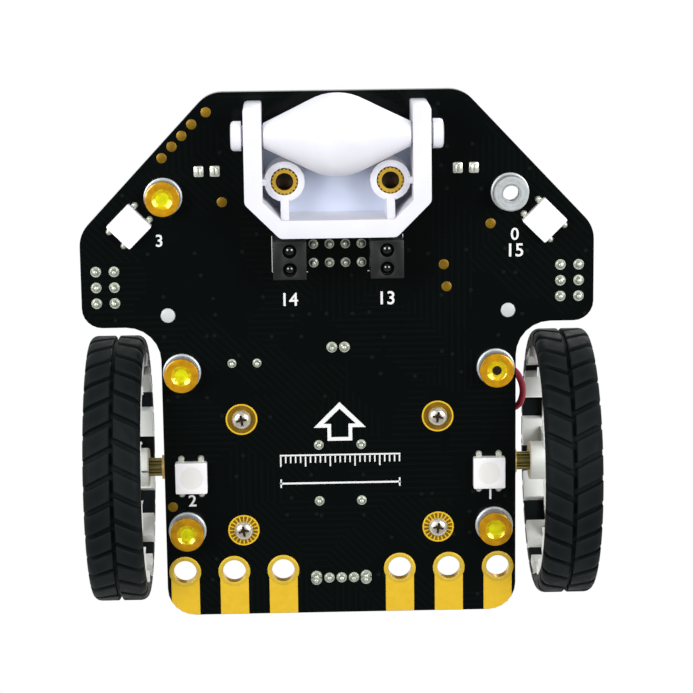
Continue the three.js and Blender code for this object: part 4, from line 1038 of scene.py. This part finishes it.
def caster_screw(side, x, y):
    """A cross-recessed screw from above, its tip well inside the insert."""
    seat, tip = TOP + 0.05, 10.4
    stem = [(0, tip), (0.9, tip), (1.25, tip + 0.4), (1.25, seat)]
    head = [(2.3, seat), (2.4, seat + 0.1), (2.4, seat + 0.6), (2.2, seat + 1.15), (1.7, seat + 1.6),
            (1.1, seat + 1.8), (0, seat + 1.85)]
    bm = lathe(bmesh.new(), stem + head, 40, at(x, y, 0))
    tool = prism(bmesh.new(), cross(2.7, 0.55), seat + 0.75, seat + 3, at(x, y, 0))
    piece(f"{side}_caster_screw_finished", combined(bm, [tool], "DIFFERENCE"), SCREW,
          replaces=(f"{side}_caster_screw",))


softened("caster_bracket", CASTER_WHITE, 0.22)
roller()
for side, x, y in CASTER_SCREWS:
    caster_insert(side, x, y)

# ---------------- line sensors and colour LEDs

def line_sensor(side, s):
    low, high = low_high(f"{side}_line_sensor")
    softened(f"{side}_line_sensor", SENSOR, 0.12)
    x = (low.x + high.x) / 2
    y = (low.y + high.y) / 2
    bm = bmesh.new()
    for dy, radius in ((-1.5, 1.08), (1.4, 0.95)):
        lathe(bm, [(0, low.z + 0.02), (radius * 0.4, low.z + 0.1), (radius * 0.75, low.z + 0.35),
                   (radius * 0.97, low.z + 0.75), (radius * 0.97, low.z + 1.15), (0, low.z + 1.15)], 32,
              at(x, y + dy, 0))
    piece(f"{side}_sensor_lenses", bm, SENSOR_LENS, smooth=60)


LED_HALF = 2.55
LED_PLACES = (("front_left", 32.85, -22, -45), ("front_right", -32.85, -22, 45),
              ("rear_left", 24.05, 19.1, 0), ("rear_right", -24.05, 19.1, 0))


def colour_led(name, x, y, turn):
    """A square housing with a round filled window and four legs."""
    place = at(x, y, 0, Matrix.Rotation(math.radians(turn), 4, "Z"))
    low, high = low_high(f"{name}_colour_led")
    half = LED_HALF
    body = prism(bmesh.new(), rounded(-half, half, -half, half, 0.25), low.z, high.z, place)
    bowl = lathe(bmesh.new(), [(0, low.z + 0.5), (1.5, low.z + 0.5), (2.0, low.z - 0.2),
                               (0, low.z - 0.2)], 40, place)
    housing = combined(body, [bowl], "DIFFERENCE")
    piece(f"{name}_led_housing", soften(housing, 0.06, 40), LED_WHITE, replaces=(f"{name}_colour_led",))
    filling = lathe(bmesh.new(), [(0, low.z + 0.09), (1.2, low.z + 0.07), (1.85, low.z + 0.02),
                                  (1.85, low.z + 0.2), (1.5, low.z + 0.5), (0, low.z + 0.5)], 40, place)
    piece(f"{name}_led_filling", filling, LED_FILL)
    legs = bmesh.new()
    for sx in (-1.6, 1.6):
        for sy in (-1, 1):
            near, far = sorted((sy * (half - 0.2), sy * (half + 0.55)))
            block(legs, (sx - 0.45, near, high.z - 0.28), (sx + 0.45, far, high.z), 0.06, place)
            lathe(legs, [(0, high.z - 0.5), (0.3, high.z - 0.42), (0.48, high.z - 0.2), (0.52, high.z),
                         (0, high.z)], 16, place @ at(sx, sy * (half + 0.42), 0))
    piece(f"{name}_led_legs", legs, SOLDER)


for side, s in SIDES:
    line_sensor(side, s)
for name, x, y, turn in LED_PLACES:
    colour_led(name, x, y, turn)

# ---------------- parts on top of the board

CONNECTOR_Y = -7.4
TOP_PARTS = (("edge_connector", BLACK, 0.2), ("battery_box", BLACK, 0.25),
             ("battery_socket", WHITE, 0.2), ("power_switch_body", STEEL, 0.12),
             ("range_finder_board", MODULE, 0.1), ("left_range_finder_eye", EYE_METAL, 0.25),
             ("right_range_finder_eye", EYE_METAL, 0.25))
for node, look, width in TOP_PARTS:
    softened(node, look, width)
softened("power_switch_lever", BLACK, 0.2, "switch_lever")
for k in range(3):
    softened(f"battery_cell_{k + 1}", CELLS[k], 0.2)


def connector_pegs():
    """The ends of the connector's two locating pegs, level with the underside."""
    bm = bmesh.new()
    for _, s in SIDES:
        lathe(bm, [(0, UNDER - 0.02), (0.95, UNDER), (1.17, UNDER + 0.12), (1.17, UNDER + 0.5),
                   (0, UNDER + 0.5)], 32, at(s * 27.15, CONNECTOR_Y, 0))
    piece("connector_pegs", bm, PEG_WHITE)


def connector_contacts():
    bm = bmesh.new()
    pitch = 1.27
    for k in range(40):
        x = (k - 19.5) * pitch
        for sy in (-1, 1):
            slab(bm, x, CONNECTOR_Y + sy * 0.72, 0.3, 0.16, 20, 27.2, 0.1)
    piece("edge_contacts", bm, GOLD)


def eye_grilles():
    for side, s in SIDES:
        low, high = low_high(f"{side}_range_finder_eye")
        x, z = (low.x + high.x) / 2, (low.z + high.z) / 2
        bm = bmesh.new()
        radius, y, pitch, half = 6.35, low.y + 1.0, 0.9, 0.14
        count = int(radius / pitch)
        for k in range(-count, count + 1):
            reach = math.sqrt(radius ** 2 - (k * pitch) ** 2)
            across, up = x + k * pitch, z + k * pitch
            block(bm, (across - half, y, z - reach), (across + half, y + 0.25, z + reach))
            block(bm, (x - reach, y + 0.05, up - half), (x + reach, y + 0.3, up + half))
        piece(f"{side}_eye_grille", bm, GRILLE)
        ring = lathe(bmesh.new(), [(6.1, 0), (6.6, 0), (6.6, 0.6), (6.1, 0.6)], 48,
                     at(x, y - 0.15, z, ALONG_Y), closed=True)
        piece(f"{side}_eye_ring", ring, EYE_METAL)


def headlights():
    lens, leads = bmesh.new(), bmesh.new()
    for _, s in SIDES:
        x, y, z = s * 20.42, -31.0, TOP + 3.2
        lathe(lens, [(0, -6.9), (0.9, -6.75), (1.7, -6.2), (2.25, -5.3), (2.45, -4.3), (2.5, -3),
                     (2.5, 0.4), (2.85, 0.45), (2.9, 1.4), (0, 1.4)], 40, at(x, y, z, ALONG_Y))
        for dx in (-1.27, 1.27):
            block(leads, (x + dx - 0.25, y + 0.3, TOP), (x + dx + 0.25, y + 0.8, z), 0.05)
            block(leads, (x + dx - 0.25, y + 0.3, z - 0.25), (x + dx + 0.25, y + 1.6, z + 0.25), 0.05)
    piece("headlight_lenses", lens, LAMP, smooth=50)
    piece("headlight_leads", leads, SOLDER)


def buzzer():
    x, y = -15.1, 0.55
    bm = lathe(bmesh.new(), [(0, TOP), (4.4, TOP), (4.5, TOP + 0.2), (4.5, TOP + 5.2), (4.2, TOP + 5.5),
                             (1.1, TOP + 5.5), (1.0, TOP + 5.3), (1.0, TOP + 4.2), (0, TOP + 4.2)],
               48, at(x, y, 0))
    piece("buzzer", bm, BLACK)


def port_headers():
    bases, pins = bmesh.new(), bmesh.new()
    for _, s in SIDES:
        for x in PORT_X:
            for y in PORT_Y:
                slab(bases, s * x, y, 1.2, 1.26, TOP + 0.02, TOP + 2.5, 0.25)
                slab(pins, s * x, y, 0.32, 0.32, TOP + 1, TOP + 8.4, 0.12)
    piece("port_header_bases", bases, BLACK)
    piece("port_header_pins", pins, GOLD)


CHIPS = ((0, -27, 7, 5), (14, -26, 5, 4), (-14, -27, 4, 4), (0, 31, 5, 4), (13.5, 4.6, 4, 3.4))
CHIP_LEG_PITCH = 1.1


def small_parts():
    """Chips, resistors and capacitors on top of the board."""
    chips, bodies, ends = bmesh.new(), bmesh.new(), bmesh.new()
    for x, y, w, d in CHIPS:
        slab(chips, x, y, w / 2, d / 2, TOP + 0.1, TOP + 1.2, 0.12)
        legs = int(w / CHIP_LEG_PITCH)
        for k in range(legs):
            px = x + (k - (legs - 1) / 2) * CHIP_LEG_PITCH
            for sy in (-1, 1):
                near, far = sorted((y + sy * (d / 2 - 0.1), y + sy * (d / 2 + 0.9)))
                block(ends, (px - 0.2, near, TOP + 0.02), (px + 0.2, far, TOP + 0.32), 0.05)
    shaking = random.Random(3)
    for k in range(26):
        x = shaking.uniform(-24, 24)
        y = shaking.choice((-38.5, -36.2, -33.8, -23.8, 33.4))
        if abs(x) > 16 and y < -30 or abs(x) < 3 and y > 30 or 9 < abs(x) and y > 30:
            continue
        slab(bodies, x, y, 0.5, 0.4, TOP + 0.03, TOP + 0.5, 0.06)
        for sx in (-1, 1):
            near, far = sorted((x + sx * 0.48, x + sx * 0.85))
            block(ends, (near, y - 0.42, TOP), (far, y + 0.42, TOP + 0.53), 0.06)
    piece("chips", chips, BLACK)
    piece("ceramic_parts", bodies, CHIP_BROWN)
    piece("part_ends", ends, SOLDER)


def tube(points, radius, steps=10):
    """A round bar along a path."""
    bm = bmesh.new()
    rings = []
    for i, point in enumerate(points):
        along = (points[min(i + 1, len(points) - 1)] - points[max(i - 1, 0)]).normalized()
        side = along.cross(Vector((1, 0.1, 0.05))).normalized()
        up = along.cross(side)
        rings.append([bm.verts.new(point + radius * (side * math.cos(2 * math.pi * k / steps)
                                                     + up * math.sin(2 * math.pi * k / steps)))
                      for k in range(steps)])
    for a, b in zip(rings, rings[1:]):
        for k in range(steps):
            bm.faces.new((a[k], a[(k + 1) % steps], b[(k + 1) % steps], b[k]))
    bm.faces.new(rings[0])
    bm.faces.new(rings[-1])
    return bm


SPRING_WIRE = 0.25
SPRING_TURNS = 3.5
SPRING_STEPS = 56


def cell_springs():
    """A spring against each cell's flat end and a plate against its button."""
    plates = bmesh.new()
    for k in range(3):
        low, high = low_high(f"battery_cell_{k + 1}")
        y, z = (low.y + high.y) / 2, (low.z + high.z) / 2
        facing = -1 if k == 1 else 1
        flat_x = low.x if facing > 0 else high.x
        points = []
        for i in range(SPRING_STEPS + 1):
            t = i / SPRING_STEPS
            angle = 2 * math.pi * SPRING_TURNS * t
            radius = 1.6 + 1.7 * t
            along = flat_x - facing * (0.3 + 2.5 * t)
            points.append(Vector((along, y + radius * math.cos(angle), z + radius * math.sin(angle))))
        piece(f"cell_spring_{k + 1}", tube(points, SPRING_WIRE), NICKEL, smooth=60)
        for x in (-25.2, 25.2):
            slab(plates, x, y, 0.15, 4.2, z - 4.2, z + 4.2, 0.1)
    piece("cell_plates", plates, NICKEL)


connector_pegs()
connector_contacts()
eye_grilles()
headlights()
buzzer()
port_headers()
small_parts()
cell_springs()

# ---------------- floor and light

FLOOR_HALF = 15.0


def floor():
    """A pale floor that is seen only from above and stops no light."""
    mesh = bpy.data.meshes.new("floor")
    corners = [(x, y, 0) for x, y in ((-1, -1), (1, -1), (1, 1), (-1, 1))]
    mesh.from_pydata([Vector(c) * FLOOR_HALF for c in corners], [], [(0, 1, 2, 3)])
    ground = bpy.data.objects.new("floor", mesh)
    scene.collection.objects.link(ground)
    material = bpy.data.materials.new("floor")
    material.use_nodes = True
    tree = material.node_tree
    shader = tree.nodes["Principled BSDF"]
    shader.inputs["Base Color"].default_value = (0.70, 0.70, 0.70, 1)
    shader.inputs["Roughness"].default_value = 0.8
    clear = tree.nodes.new("ShaderNodeBsdfTransparent")
    choose = tree.nodes.new("ShaderNodeMixShader")
    facing = tree.nodes.new("ShaderNodeNewGeometry")
    tree.links.new(facing.outputs["Backfacing"], choose.inputs[0])
    tree.links.new(shader.outputs[0], choose.inputs[1])
    tree.links.new(clear.outputs[0], choose.inputs[2])
    tree.links.new(choose.outputs[0], tree.nodes["Material Output"].inputs["Surface"])
    mesh.materials.append(material)
    ground.visible_shadow = False
    ground.visible_glossy = False
    ground.visible_diffuse = False


def surroundings():
    """Pale all round, and dark below so that the glossy board stays black."""
    world = bpy.data.worlds.new("studio")
    scene.world = world
    world.use_nodes = True
    tree = world.node_tree
    background = tree.nodes["Background"]
    direction = tree.nodes.new("ShaderNodeTexCoord")
    split = tree.nodes.new("ShaderNodeSeparateXYZ")
    ramp = tree.nodes.new("ShaderNodeMapRange")
    ramp.inputs["From Min"].default_value = -0.45
    ramp.inputs["From Max"].default_value = -0.15
    ramp.inputs["To Min"].default_value = 0.2
    ramp.inputs["To Max"].default_value = 1.0
    tree.links.new(direction.outputs["Generated"], split.inputs[0])
    tree.links.new(split.outputs["Z"], ramp.inputs["Value"])
    tree.links.new(ramp.outputs["Result"], background.inputs["Strength"])
    background.inputs["Color"].default_value = (1, 1, 1, 1)


def area_light(name, place, power, size):
    data = bpy.data.lights.new(name, "AREA")
    data.energy = power
    data.size = size
    light = bpy.data.objects.new(name, data)
    scene.collection.objects.link(light)
    light.location = place
    aim = Vector((0, 0, 0.015)) - Vector(place)
    light.rotation_euler = aim.to_track_quat("-Z", "Y").to_euler()


floor()
surroundings()
area_light("under_left", (0.36, -0.16, -0.46), 2.55, 0.3)
area_light("under_right", (-0.36, -0.16, -0.46), 2.55, 0.3)
area_light("above", (0.3, -0.5, 0.9), 2.4, 0.5)
scene.view_settings.view_transform = "Standard"
